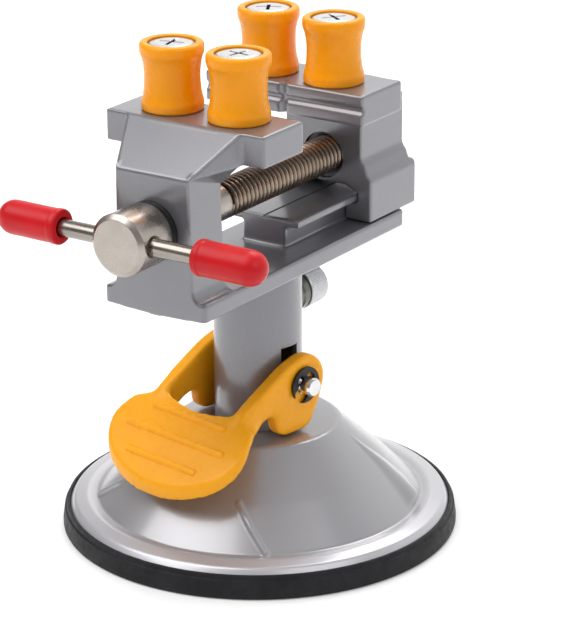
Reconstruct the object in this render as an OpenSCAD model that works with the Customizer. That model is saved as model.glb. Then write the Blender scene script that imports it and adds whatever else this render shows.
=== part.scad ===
// Small bench vise that swivels on a suction base.
// The origin is on the bench under the middle of the post. Z is up, the jaws
// open along Y and the tommy bar lies along X. The screw head points to -Y.

/* [Suction base] */
// Diameter of the rubber pad on the bench
pad_d = 125; // [118:1:140]
// Height of the rubber rim
pad_rim_h = 7.3; // [6.5:0.1:9]
// How far the rim leans in from the bench to its top
pad_lean = 1.5; // [0.5:0.1:1.8]
// Width of the rubber lip round the edge of the metal
pad_lip = 0.9; // [0.6:0.1:1.5]
// Width of the flat sealing ring on the bench
seal_w = 9.5; // [7:0.5:14]
// Thickness of the rubber in the middle
pad_t = 4; // [3:0.25:5]
// How high the locked lever lifts the middle of the pad
pad_lift = 5.2; // [4.5:0.1:6]
// Diameter of the steel plate moulded on the pad
plate_d = 40; // [30:1:50]
// Thickness of that plate
plate_t = 2; // [1.5:0.25:3]
// Wall of the metal dome
dome_wall = 2; // [1.5:0.25:2.5]
// Width of the rolled flange round the dome
flange_w = 8.7; // [7:0.1:11]
// How far the crest of the flange stands over its edge
flange_crown = 2.2; // [1:0.1:3]
// Diameter of the flat hub on top of the dome
hub_d = 53; // [50:1:58]
// Height of the hub over the bench
dome_h = 34; // [30:0.5:38]
// Width of each rib pressed in the cone
rib_w = 4.2; // [3:0.2:6]
// Height of each rib over the cone
rib_h = 0.9; // [0.5:0.1:1.4]
// Number of ribs
rib_count = 4; // [3:1:6]

/* [Post] */
// Outer diameter of the post
post_d = 27.7; // [27:0.1:29]
// Wall of the post
post_wall = 1.87; // [1.5:0.01:2.5]
// Height of the top of the post over the bench
post_top = 84; // [80:0.5:92]
// Width of the slot for the lever pin
slot_w = 7; // [6.6:0.1:9]
// Room left over the lever pin in its slot
slot_over = 8; // [4:0.5:9]
// Depth that the post is pressed in the hub
post_press = 2.2; // [1.5:0.1:3]

/* [Lever and pin] */
// Angle of the lever and base from the jaws
base_turn = -10; // [-45:1:45]
// Height of the lever pin over the hub
pin_over_hub = 16; // [15:0.5:18]
// Diameter of the lever pin
pin_d = 6; // [5:0.25:6.5]
// Length of the lever pin
pin_l = 49; // [48:0.5:54]
// Gap between the arms of the lever
fork_gap = 29.2; // [28.8:0.1:31]
// Thickness of each arm
arm_t = 5; // [4:0.25:6]
// Radius of the round end of each arm
arm_hub_r = 8.6; // [8:0.1:10]
// Radius of the lower corners of the cam foot
foot_r = 5.3; // [4.5:0.1:6]
// Distance from the pin to the front of the cam foot
foot_front = 11.9; // [11.5:0.1:13]
// Distance from the pin to the rear of the cam foot
foot_rear = 5.3; // [4:0.1:5.5]
// Running gap under the cam foot
foot_gap = 0.8; // [0.7:0.05:1.2]
// Half the width of the paddle
paddle_rx = 27.9; // [25:0.5:32]
// Half the length of the paddle seen from above
paddle_ry = 12.8; // [12:0.2:15]
// Distance from the pin to the middle of the paddle
paddle_reach = 35.5; // [34:0.5:40]
// Depth of the middle of the paddle under the pin
paddle_drop = 11.2; // [10:0.1:13]
// Thickness of the paddle
paddle_t = 3.4; // [2.5:0.1:4.5]
// Radius of the hollow edge between the arms
paddle_hollow_r = 41; // [38:1:50]
// Radius of the finger ribs across the paddle
finger_rib_r = 1.2; // [0.8:0.1:1.6]
// Diameter of the spring clips on the pin
clip_d = 11.6; // [10:0.2:13]
// Thickness of the spring clips
clip_t = 1; // [0.8:0.1:1.4]
// Diameter of the pull stud
stud_d = 11; // [9.5:0.5:13]
// Distance from the pin to the top of the stud
stud_over_pin = 6; // [5:0.25:7]

/* [Clamp screw] */
// Distance from the top of the post down to the clamp screw
clamp_down = 14.2; // [13:0.1:16]
// Thread diameter of the clamp screw
clamp_d = 8; // [6:0.5:8]
// Diameter of its head
clamp_head_d = 13; // [11:0.5:15]
// Length of its head
clamp_head_l = 9.4; // [7:0.1:11]
// Width across flats of the hexagon socket
clamp_hex = 6; // [5:0.5:6.5]
// Depth of the hexagon socket
clamp_hex_depth = 4.2; // [3:0.2:5]
// Diameter of the threaded collar on the post
nut_d = 12.4; // [11:0.2:14]
// Distance that the collar stands out of the post
nut_l = 7.7; // [5:0.1:9]

/* [Vise body] */
// Width of the base of the body
body_w = 36.8; // [36:0.2:42]
// Thickness of the base along its sides
body_edge_t = 5.45; // [4.5:0.1:7]
// Drop of the shallow keel under the base
keel = 0.9; // [0:0.1:1.5]
// Distance from the post to the front face
front_reach = 53.4; // [51:0.2:58]
// Distance from the post to the rear end
rear_reach = 56.8; // [54:0.2:62]
// Cut across each corner of the base
corner_cut = 1.6; // [0.5:0.1:3]
// Length of the block that carries the screw
block_l = 16.4; // [14:0.2:19]
// Width of the block at its top
block_w = 26.2; // [24:0.2:29]
// Draft of each side of the block
block_draft = 0.8; // [0:0.1:1.4]
// Radius between the block and its base
block_fillet = 3.6; // [1:0.2:4]
// Height of the bottom of the jaw plates over the post
plate_over_post = 45.3; // [42:0.1:50]
// Thickness of the jaw plates
jaw_plate_t = 9.74; // [8:0.1:12]
// Width of the fixed jaw plate
fixed_plate_w = 57; // [54:0.5:64]
// Length of the fixed jaw plate
fixed_plate_l = 20.4; // [20:0.2:24]
// Width of the sloping panel at the plate
panel_w = 41.1; // [38:0.2:46]
// Drop of the sloping panel
panel_drop = 11.5; // [9:0.5:14]
// Depth of the panel's gussets under the jaw plate
gusset_drop = 6.8; // [4:0.2:9]
// Length of the round tenon in the post
tenon_l = 20.5; // [19:0.5:22]
// Depth of the groove that the clamp screw presses in
tenon_groove = 0.8; // [0.4:0.1:1.2]

/* [Rail] */
// Width of the rail's head
rail_w = 25.2; // [22:0.2:27]
// Width of the rail's neck
rail_neck_w = 16.1; // [13:0.1:18]
// Height of the rail over the base
rail_h = 9; // [8:0.2:10.5]
// Thickness of the rail's head
rail_head_t = 2.4; // [2:0.1:3]
// Distance from the post to the front end of the rail
rail_start = 4; // [2:0.5:8]
// Width of the line along the top of the rail
rail_line_w = 1; // [0.6:0.1:2]
// Depth of that line
rail_line_depth = 0.4; // [0.2:0.1:0.8]

/* [Moving jaw] */
// Opening between the jaws
jaw_opening = 31.15; // [29:0.05:40]
// Width of the moving jaw plate
moving_plate_w = 58.1; // [54:0.5:64]
// Length of the moving jaw plate
moving_plate_l = 22.6; // [20:0.2:24]
// Length of the foot on the rail
foot_l = 27; // [24:0.5:30]
// Length of the neck that holds the nut thread
neck_l = 25; // [22:0.5:26]
// Width of the neck
neck_w = 28.4; // [26:0.2:30]
// Width of the foot
foot_w = 35.9; // [35:0.1:40]
// Height of the foot's shoulder over the base
foot_h = 14.6; // [13:0.2:15.5]
// Height of the curve from shoulder to neck
shoulder_h = 7.4; // [5:0.2:8]
// Radius of the foot's shoulder
shoulder_r = 2.6; // [1.4:0.1:4]
// Radius of the hollow where the neck rises from the foot
neck_fillet = 3.2; // [1.4:0.1:4]
// Width of the V grooves in the jaw face
vee_w = 3; // [2:0.1:4]
// Depth of the V grooves
vee_depth = 1.5; // [0.8:0.1:2]
// Distance from the top of the plate to the level groove
vee_down = 4.7; // [4:0.1:6]

/* [Lead screw] */
// Height of the screw over the base of the body
screw_over_base = 20.05; // [19.5:0.05:22]
// Diameter of the lead screw
screw_d = 11.8; // [10:0.1:12]
// Pitch of its thread
screw_pitch = 2.1; // [1.5:0.05:2.5]
// Depth of its thread
screw_thread_h = 1; // [0.6:0.05:1.2]
// Plain length behind the block
screw_plain_l = 16; // [10:0.5:18]
// Distance from the post to the end of the screw
screw_reach = 64; // [62:0.5:66]
// Diameter of the screw's head
head_d = 19; // [17:0.2:21]
// Length of the head
head_l = 14.4; // [13:0.2:16]
// Cut round the outer edge of the head
head_cut = 1.3; // [0.5:0.1:2]
// Distance from the head's face to the tommy bar
bar_down = 5.8; // [5:0.1:7.5]
// Thickness of the washer under the head
washer_t = 3; // [1.5:0.1:4]
// Diameter of that washer
washer_d = 18.5; // [15:0.5:20]
// Diameter of the snap ring behind the block
ring_d = 15.4; // [14:0.2:17]
// Thickness of the snap ring
ring_t = 1.2; // [0.8:0.1:1.6]

/* [Tommy bar] */
// Diameter of the tommy bar
bar_d = 5.25; // [4:0.25:5.5]
// Length of the bar over its caps
bar_l = 94.8; // [90:0.5:110]
// Distance that the bar lies off its middle
bar_shift = 0.6; // [-8:0.1:8]
// Diameter of the soft caps
cap_d = 10.5; // [9:0.25:12]
// Length of the caps
cap_l = 23; // [18:0.5:26]
// Depth of the closed end of the caps
cap_end = 3; // [2:0.25:5]

/* [Pegs] */
// Diameter of the pegs at their foot
peg_d = 18.8; // [17:0.2:20]
// Diameter of the collar at their top
peg_top_d = 19.4; // [17.5:0.2:20.5]
// Diameter of their waist
peg_waist_d = 16.8; // [15:0.2:17.4]
// Height of the pegs
peg_h = 20.5; // [16:0.5:26]
// Height of the straight bands at foot and top
peg_band = 3.6; // [2:0.2:5]
// Distance between the two pegs of a jaw
peg_pitch = 24.1; // [22:0.1:28]
// Distance from the face of the fixed jaw to its pegs
peg_back_front = 9.2; // [9:0.1:11]
// Distance from the face of the moving jaw to its pegs
peg_back_rear = 10.35; // [10:0.05:12]
// Diameter of the peg screws' heads
peg_screw_head_d = 14.2; // [12:0.2:14.4]
// Thickness of those heads
peg_screw_head_t = 1.9; // [1.4:0.1:2.6]
// Depth of the heads under the rim of the pegs
peg_screw_sink = 0.3; // [0.2:0.1:1.5]
// Thread diameter of the peg screws
peg_screw_d = 4; // [3:0.25:5]
// Depth of the cross recess
cross_depth = 1.1; // [0.6:0.1:1.6]

/* [Fits] */
// Radial clearance of what turns in a round hole
turn_gap = 0.05; // [0.02:0.01:0.09]
// Gap of what slides on flat faces
slide_gap = 0.3; // [0.2:0.05:0.4]
// Gap between faces that are only just apart
face_gap = 0.05; // [0.02:0.01:0.1]

/* [Hidden] */
$fn = 64;
eps = 0.01;
through = 200;

pad_r = pad_d / 2;
dome_r = pad_r - pad_lean - pad_lip;
crease_r = dome_r - flange_w;
hub_r = hub_d / 2;
shelf_z = pad_rim_h - dome_wall;
crease_z = pad_rim_h + flange_crown * 0.7;
post_r = post_d / 2;
post_bore_r = post_r - post_wall;
pin_z = dome_h + pin_over_hub;
plate_z = pad_lift + pad_t;
stud_z = plate_z + plate_t;
clamp_r = clamp_d / 2;
clamp_z = post_top - clamp_down;
nut_end = post_r + nut_l;
arm_in = fork_gap / 2;
arm_out = arm_in + arm_t;

base_z = post_top + keel + body_edge_t;
plate_bottom = post_top + plate_over_post;
plate_top = plate_bottom + jaw_plate_t;
screw_z = base_z + screw_over_base;
screw_r = screw_d / 2;
block_rear = block_l - front_reach;
fixed_face = block_rear + fixed_plate_l;
moving_face = fixed_face + jaw_opening;
moving_plate_rear = moving_face + moving_plate_l;
rail_top = base_z + rail_h;
rail_under = rail_top - rail_head_t;
washer_front = -front_reach - face_gap - washer_t;
head_rear = washer_front - face_gap;
head_face = head_rear - head_l;
bar_y = head_face + bar_down;
thread_start = block_rear + screw_plain_l;
fixed_peg_y = fixed_face - peg_back_front;
moving_peg_y = moving_face + peg_back_rear;
ring_y = block_rear - face_gap - ring_t;

silver = [0.60, 0.60, 0.63];
orange = [0.98, 0.62, 0.10];
red = [0.84, 0.09, 0.13];
nickel = [0.66, 0.62, 0.56];
zinc = [0.80, 0.80, 0.82];
black = [0.10, 0.10, 0.11];

// Points of an arc from angle a0 to angle a1
function arc(cx, cy, r, a0, a1, n = 6) =
    [for (i = [0 : n]) let (a = a0 + (a1 - a0) * i / n) [cx + r * cos(a), cy + r * sin(a)]];

// Points of a profile mirrored to the other side of the middle
function both_sides(pts) =
    concat(pts, [for (i = [len(pts) - 1 : -1 : 0]) [-pts[i][0], pts[i][1]]]);

// Round body about a line along Y, from a profile of [radius, y] points
module turned_y(pts) {
    rotate([-90, 0, 0]) rotate_extrude() polygon(pts);
}

// Cylinder along X through the middle of the base
module rod_x(r, x0, x1, y = 0, z = 0) {
    translate([x0, y, z]) rotate([0, 90, 0]) cylinder(r = r, h = x1 - x0);
}

// Cylinder along Y
module rod_y(r, y0, y1, z, x = 0) {
    translate([x, y1, z]) rotate([90, 0, 0]) cylinder(r = r, h = y1 - y0);
}

// Flat profile of [y, z] points, extruded along X
module side_profile(pts, x0, x1) {
    translate([x0, 0, 0]) rotate([90, 0, 90]) linear_extrude(x1 - x0) polygon(pts);
}

// Flat profile of [x, z] points, extruded along Y
module front_profile(pts, y0, y1) {
    translate([0, y1, 0]) rotate([90, 0, 0]) linear_extrude(y1 - y0) polygon(pts);
}

// ---------- suction base ----------

module suction_pad() {
    lip_in = dome_r + face_gap;
    step_z = shelf_z - face_gap;
    seal_in = pad_r - seal_w;
    color(black) rotate_extrude() polygon([
        [0, pad_lift], [plate_d / 2 + 2, pad_lift], [seal_in - 3, 1], [seal_in, 0],
        [pad_r, 0], [pad_r, 1.4], [pad_r - pad_lean * 0.45, shelf_z],
        [pad_r - pad_lean, pad_rim_h], [lip_in, pad_rim_h], [lip_in, step_z],
        [crease_r - 1.5, step_z], [plate_d / 2 + 2, plate_z], [0, plate_z]]);
}

module pad_plate() {
    color(zinc) translate([0, 0, plate_z]) cylinder(d = plate_d, h = plate_t);
}

module pull_stud() {
    foot_flange = 1.4;
    color(zinc) difference() {
        union() {
            translate([0, 0, stud_z]) cylinder(d = stud_d + 7, h = foot_flange);
            translate([0, 0, stud_z])
                cylinder(d = stud_d, h = pin_z + stud_over_pin - 1 - stud_z);
            translate([0, 0, pin_z + stud_over_pin - 1 - eps])
                cylinder(d1 = stud_d, d2 = stud_d - 2, h = 1);
        }
        rotate([0, 0, base_turn]) rod_x(pin_d / 2 + turn_gap, -stud_d, stud_d, 0, pin_z);
    }
}

// Outer line of the dome from its edge up to the hub, raised by lift
function dome_line(lift = 0) = concat(
    [[dome_r, pad_rim_h - 0.2 + lift],
     [dome_r - 0.6, pad_rim_h + 0.5 + lift],
     [dome_r - flange_w * 0.35, pad_rim_h + flange_crown * 0.85 + lift],
     [dome_r - flange_w * 0.62, pad_rim_h + flange_crown + lift],
     [crease_r + 1.2, crease_z + 0.1 + lift],
     [crease_r, crease_z + 0.35 + lift],
     [hub_r + 1.4, dome_h - 1.9 + lift]],
    [[hub_r + 0.4, dome_h - 1 + lift], [hub_r - 0.9, dome_h - 0.25 + lift],
     [hub_r - 2.6, dome_h + lift]]);

module dome_plate() {
    press_r = post_bore_r + 1;
    color(silver) difference() {
        union() {
            rotate_extrude() polygon(concat(dome_line(),
                [[0, dome_h], [0, dome_h - dome_wall],
                 [hub_r - 1.6, dome_h - dome_wall],
                 [crease_r - dome_wall * 0.9, crease_z - dome_wall * 0.5],
                 [crease_r - 0.4, shelf_z + 0.5], [crease_r + 0.6, shelf_z],
                 [dome_r, shelf_z]]));
            intersection() {
                rotate_extrude() polygon([
                    [crease_r, crease_z + 0.2], [crease_r + rib_h, crease_z + 0.5],
                    [crease_r - 0.6 + rib_h, crease_z + rib_h + 1],
                    [hub_r + 0.8 + rib_h, dome_h - 1.3],
                    [hub_r - 1.5, dome_h - 0.05], [hub_r - 4, dome_h - 1],
                    [crease_r - 3, crease_z + 0.2]]);
                for (i = [0 : rib_count - 1])
                    rotate([0, 0, base_turn + (i + 0.5) * 360 / rib_count])
                        translate([0, -rib_w / 2, 0]) cube([pad_r, rib_w, dome_h]);
            }
        }
        cylinder(r = press_r + face_gap, h = through);
    }
}

module post() {
    press_r = post_bore_r + 1;
    stub_bore = post_bore_r - 0.8;
    color(silver) difference() {
        union() {
            translate([0, 0, dome_h + face_gap])
                cylinder(r = post_r, h = post_top - dome_h - face_gap);
            translate([0, 0, dome_h - post_press])
                cylinder(r = press_r, h = post_press + 1);
        }
        translate([0, 0, dome_h - post_press - 1]) cylinder(r = stub_bore, h = through);
        translate([0, 0, dome_h + 2]) cylinder(r = post_bore_r, h = through);
        rotate([0, 0, base_turn])
            translate([-post_d, -slot_w / 2, pin_z - pad_lift - pin_d / 2 - 0.3])
                cube([2 * post_d, slot_w, pad_lift + pin_d + 0.3 + slot_over]);
        rod_y(clamp_r + 1 + face_gap, 0, post_d, clamp_z);
    }
}

module clamp_nut() {
    color(zinc) difference() {
        union() {
            rod_y(nut_d / 2, post_r - 2, nut_end - 0.6, clamp_z);
            rod_y(nut_d / 2 - 0.6, post_r - 2, nut_end, clamp_z);
        }
        cylinder(r = post_r + face_gap, h = through);
        rod_y(clamp_r + turn_gap, 0, nut_end + 1, clamp_z);
    }
    color(zinc) difference() {
        rod_y(clamp_r + 1, post_bore_r + 0.5, post_r + 1, clamp_z);
        rod_y(clamp_r + turn_gap, 0, nut_end + 1, clamp_z);
    }
}

module clamp_screw() {
    under_head = nut_end + face_gap;
    head_end = under_head + clamp_head_l;
    head_r = clamp_head_d / 2;
    color(zinc) difference() {
        translate([0, 0, clamp_z]) turned_y([
            [0, post_bore_r - turn_gap + 0.12], [clamp_r, post_bore_r - turn_gap + 0.12],
            [clamp_r, under_head], [head_r, under_head], [head_r, head_end - 0.7],
            [head_r - 0.7, head_end], [0, head_end]]);
        translate([0, head_end + 1, clamp_z]) rotate([90, 0, 0])
            cylinder(r = clamp_hex / 2 / cos(30), h = clamp_hex_depth + 1, $fn = 6);
    }
}

// ---------- lever ----------

// Upper line of the paddle, from its tip up to the arms, about the pin
function paddle_top() = let (y = -paddle_reach, z = -paddle_drop, r = paddle_ry) [
    [y - 1.22 * r, z - 1.13 * r], [y - 0.58 * r, z - 0.52 * r], [y - 0.11 * r, z - 0.08 * r],
    [y + 0.4 * r, z + 0.3 * r], [y + 1.17 * r, z + 0.78 * r]];

// Side outline of one arm with its cam foot, about the pin
function arm_outline() = let (
    y = -paddle_reach, z = paddle_drop, r = arm_hub_r,
    corner_z = foot_gap + foot_r - pin_over_hub) concat(
    arc(0.14 * r, 0.06 * r, r, -20, 100, 10),
    // along the top of the arm to the paddle
    [[-0.5 * r, 0.92 * r], [0.228 * y, 0.571 * z], [0.375 * y, 0.321 * z],
     [0.549 * y, 0.027 * z], [0.724 * y, -0.268 * z], [0.789 * y, -0.482 * z],
     [0.873 * y, -0.8 * z]],
    // back along the lower side to the foot
    [[0.761 * y, -0.982 * z], [0.625 * y, -0.946 * z], [0.555 * y, -0.9 * z],
     [0.501 * y, -0.786 * z], [0.431 * y, -0.723 * z], [-foot_front, -0.68 * z]],
    arc(foot_r - foot_front, corner_z, foot_r, 180, 270, 6),
    arc(foot_rear - foot_r, corner_z, foot_r, 270, 350, 6),
    [[0.86 * r, -0.87 * r]]);

// Web that widens the lower side of an arm out to the rim of the paddle
module arm_web() {
    y = -paddle_reach;
    z = paddle_drop;
    over = paddle_rx - arm_out;
    intersection() {
        linear_extrude(through, center = true) polygon([
            [arm_out - 1, 0.493 * y], [arm_out, 0.493 * y], [arm_out + 0.23 * over, 0.62 * y],
            [arm_out + 0.53 * over, 0.732 * y], [arm_out + 0.75 * over, 0.817 * y],
            [arm_out + 0.9 * over, 0.9 * y], [arm_out - 1, 0.93 * y]]);
        side_profile([[0.49 * y, -0.68 * z], [0.62 * y, -0.643 * z], [0.732 * y, -0.59 * z],
                      [0.817 * y, -0.6 * z], [0.94 * y, -0.86 * z], [0.9 * y, -1.05 * z],
                      [0.817 * y, -0.92 * z], [0.732 * y, -0.893 * z], [0.62 * y, -0.91 * z],
                      [0.49 * y, -0.8 * z]], arm_in, paddle_rx);
    }
}

module paddle() {
    top = paddle_top();
    n = len(top) - 1;
    // The lower face lies paddle_t under the upper one, square to its slope
    drop = paddle_t * 0.71;
    under = [for (i = [n : -1 : 0]) [top[i][0] + drop, top[i][1] - drop * 1.05]];
    hollow_y = paddle_hollow_r - paddle_reach + 0.625 * paddle_ry;
    intersection() {
        linear_extrude(through, center = true) difference() {
            polygon([for (a = [0 : 7.5 : 352.5])
                [paddle_rx * cos(a), -paddle_reach + paddle_ry * sin(a)]]);
            translate([0, hollow_y]) circle(r = paddle_hollow_r, $fn = 128);
        }
        side_profile(concat(top, under), -paddle_rx - 1, paddle_rx + 1);
    }
    // finger ribs: point of the upper line, and half length as a share of paddle_rx
    for (rib = [[3, 0.57], [2, 0.77], [1, 0.55]])
        rod_x(finger_rib_r, -rib[1] * paddle_rx, rib[1] * paddle_rx,
              top[rib[0]][0], top[rib[0]][1] - finger_rib_r * 0.4);
}

module cam_lever() {
    color(orange) translate([0, 0, pin_z]) rotate([0, 0, base_turn]) difference() {
        union() {
            side_profile(arm_outline(), arm_in, arm_out);
            side_profile(arm_outline(), -arm_out, -arm_in);
            arm_web();
            mirror([1, 0, 0]) arm_web();
            paddle();
        }
        rod_x(pin_d / 2 + turn_gap, -arm_out - 1, arm_out + 1);
    }
}

module lever_pin() {
    neck_r = pin_d / 2 - 0.6;
    clip_x = arm_out + slide_gap;
    color(zinc) translate([0, 0, pin_z]) rotate([0, 0, base_turn]) difference() {
        union() {
            rod_x(pin_d / 2 - 0.5, -pin_l / 2, pin_l / 2);
            rod_x(pin_d / 2, -pin_l / 2 + 0.6, pin_l / 2 - 0.6);
        }
        for (s = [-1, 1]) {
            mid = s * (clip_x + clip_t / 2);
            half = clip_t / 2 + face_gap;
            difference() {
                rod_x(pin_d, mid - half, mid + half);
                rod_x(neck_r, mid - half - 1, mid + half + 1);
            }
        }
    }
}

// One open spring clip about X, from x0
module spring_clip(x0) {
    grip = pin_d / 2 - 0.6 + face_gap;
    translate([x0, 0, 0]) rotate([90, 0, 90]) linear_extrude(clip_t) difference() {
        circle(d = clip_d);
        circle(r = grip);
        rotate(215) translate([0, -grip]) square([clip_d, 2 * grip]);
        for (a = [115, 315]) rotate(a)
            translate([grip + 0.2, -1.1]) square([1.1, 2.2]);
    }
}

module pin_clips() {
    color(black) translate([0, 0, pin_z]) rotate([0, 0, base_turn]) {
        spring_clip(arm_out + slide_gap);
        spring_clip(-arm_out - slide_gap - clip_t);
    }
}

// ---------- vise body ----------

// Base outline of the body with its corners cut
module base_plan() {
    w = body_w / 2;
    linear_extrude(through) polygon([
        [-w, corner_cut - front_reach], [corner_cut - w, -front_reach],
        [w - corner_cut, -front_reach], [w, corner_cut - front_reach],
        [w, rear_reach - corner_cut], [w - corner_cut, rear_reach],
        [corner_cut - w, rear_reach], [-w, rear_reach - corner_cut]]);
}

// Sloping panel with two gussets, from a jaw plate to the top edge of its block: it
// narrows and sinks along its length. The plate end is at y = 0, the block end at
// y = length. The gussets' undersides rise from the block's sides to the plate.
module slope_panel(length, top_w, low_w, drop, under) {
    h = jaw_plate_t;
    root_z = plate_bottom - under;
    // the underside runs out inside the block, below the slope's lower edge
    rise = atan2(plate_top - drop - h / 5 - root_z, length);
    spread = (top_w - low_w) / 2;
    climb = under * cos(rise);
    intersection() {
        linear_extrude(through) polygon([
            [-top_w / 2, -eps], [top_w / 2, -eps], [low_w / 2, length], [-low_w / 2, length]]);
        side_profile([[-1, plate_top], [0, plate_top], [length, plate_top - drop],
                      [length, root_z - h], [-1, root_z - h]], -top_w, top_w);
        translate([0, 0, root_z]) rotate([rise, 0, 0])
            front_profile([[-low_w / 2, 0], [low_w / 2, 0], [low_w / 2 + 2 * spread, 2 * climb],
                           [low_w / 2 + 2 * spread, 4 * h], [-low_w / 2 - 2 * spread, 4 * h],
                           [-low_w / 2 - 2 * spread, 2 * climb]], -2 * length, 3 * length);
    }
}

module vise_body() {
    half = body_w / 2;
    edge_z = post_top + keel;
    top_half = block_w / 2;
    low_half = top_half + block_draft;
    tenon_r = post_bore_r - turn_gap;
    tenon_z = post_top - tenon_l;
    color(silver) difference() {
        union() {
            // base with its shallow keel
            intersection() {
                base_plan();
                front_profile([[-half, base_z], [-half, edge_z], [0, post_top + face_gap],
                               [half, edge_z], [half, base_z]], -front_reach, rear_reach);
            }
            // block with a fillet down to the base
            front_profile(both_sides(concat(
                [[half - 1, base_z - eps]],
                arc(low_half + block_fillet, base_z + block_fillet, block_fillet, 270, 180, 5),
                [[top_half, plate_bottom], [top_half, plate_top - panel_drop]])),
                -front_reach, block_rear);
            translate([-top_half, block_rear - 1, plate_bottom - 1])
                cube([block_w, 2, jaw_plate_t]);
            // jaw plate and the panel in front of it
            translate([-fixed_plate_w / 2, block_rear, plate_bottom])
                cube([fixed_plate_w, fixed_plate_l, jaw_plate_t]);
            translate([0, block_rear, 0]) mirror([0, 1, 0])
                slope_panel(block_l, panel_w, block_w, panel_drop, gusset_drop);
            // T shaped rail
            front_profile([[-rail_neck_w / 2, base_z - eps], [rail_neck_w / 2, base_z - eps],
                           [rail_neck_w / 2, rail_under], [rail_w / 2, rail_under],
                           [rail_w / 2, rail_top], [-rail_w / 2, rail_top],
                           [-rail_w / 2, rail_under], [-rail_neck_w / 2, rail_under]],
                          rail_start, rear_reach);
            // tenon in the post
            translate([0, 0, tenon_z]) cylinder(r = tenon_r, h = tenon_l + 2);
            translate([0, 0, post_top + face_gap]) cylinder(r = post_r, h = 2);
        }
        // groove that the clamp screw presses in
        translate([0, 0, clamp_z - clamp_r - 0.5]) difference() {
            cylinder(r = post_r, h = clamp_d + 1);
            translate([0, 0, -1]) cylinder(r = tenon_r - tenon_groove, h = clamp_d + 3);
        }
        // bearing of the lead screw, with a recess for its snap ring
        rod_y(screw_r + turn_gap, -front_reach - 1, block_rear + 1, screw_z);
        rod_y(ring_d / 2 + 0.6, ring_y - 0.2, block_rear + 1, screw_z);
        // line along the top of the rail
        translate([-rail_line_w / 2, rail_start - 1, rail_top - rail_line_depth])
            cube([rail_line_w, through, rail_line_depth + 1]);
        for (s = [-1, 1])
            translate([s * peg_pitch / 2, fixed_peg_y, plate_bottom - 1])
                cylinder(r = peg_screw_d / 2 + turn_gap, h = jaw_plate_t + 2);
    }
}

// ---------- moving jaw ----------

module moving_jaw() {
    foot_z = base_z + slide_gap;
    half_foot = foot_w / 2;
    half_neck = neck_w / 2;
    shoulder_z = base_z + foot_h;
    neck_z = shoulder_z + shoulder_h;
    slot_half = rail_w / 2 + slide_gap;
    slot_neck = rail_neck_w / 2 + slide_gap;
    vee_z = plate_top - vee_down;
    y0 = moving_plate_rear;
    color(silver) difference() {
        union() {
            translate([-moving_plate_w / 2, moving_face, plate_bottom])
                cube([moving_plate_w, moving_plate_l, jaw_plate_t]);
            translate([-half_neck, y0 - 1, plate_bottom - 1]) cube([neck_w, 2, jaw_plate_t]);
            // neck, with an S curve out to the foot
            front_profile(both_sides(concat(
                [[half_foot, foot_z]],
                arc(half_foot - shoulder_r, shoulder_z + 1 - shoulder_r, shoulder_r, 0, 60, 4),
                arc(half_neck + neck_fillet, neck_z - neck_fillet / 4, neck_fillet, 235, 180, 4),
                [[half_neck, plate_top - panel_drop]])), y0, y0 + neck_l);
            front_profile(both_sides(concat(
                [[half_foot, foot_z]],
                arc(half_foot - shoulder_r, shoulder_z + 1 - shoulder_r, shoulder_r, 0, 60, 4),
                [[half_neck, shoulder_z + 0.6]])), y0, y0 + foot_l);
            translate([0, y0, 0])
                slope_panel(neck_l, panel_w, neck_w, panel_drop + 2, gusset_drop);
        }
        // slot for the rail, arched over its head
        front_profile([[-slot_neck, foot_z - 1], [slot_neck, foot_z - 1],
                       [slot_neck, rail_under - slide_gap], [slot_half, rail_under - slide_gap],
                       [slot_half, rail_top + slide_gap], [slot_half - 5, rail_top + 2.4],
                       [5 - slot_half, rail_top + 2.4], [-slot_half, rail_top + slide_gap],
                       [-slot_half, rail_under - slide_gap], [-slot_neck, rail_under - slide_gap]],
                      y0 - 1, y0 + foot_l + 1);
        // threaded hole with an open mouth
        rod_y(screw_r + turn_gap, y0 - 1, y0 + foot_l + 1, screw_z);
        rod_y(screw_r + 1.6, y0 - 1, y0 + 2, screw_z);
        // V grooves in the gripping face
        side_profile([[moving_face - eps, vee_z - vee_w / 2], [moving_face - eps, vee_z + vee_w / 2],
                      [moving_face + vee_depth, vee_z]], -through, through);
        linear_extrude(through) polygon([
            [-vee_w / 2, moving_face - eps], [vee_w / 2, moving_face - eps],
            [0, moving_face + vee_depth]]);
        for (s = [-1, 1])
            translate([s * peg_pitch / 2, moving_peg_y, plate_bottom - 1])
                cylinder(r = peg_screw_d / 2 + turn_gap, h = jaw_plate_t + 2);
    }
}

// ---------- lead screw and its bar ----------

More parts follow.
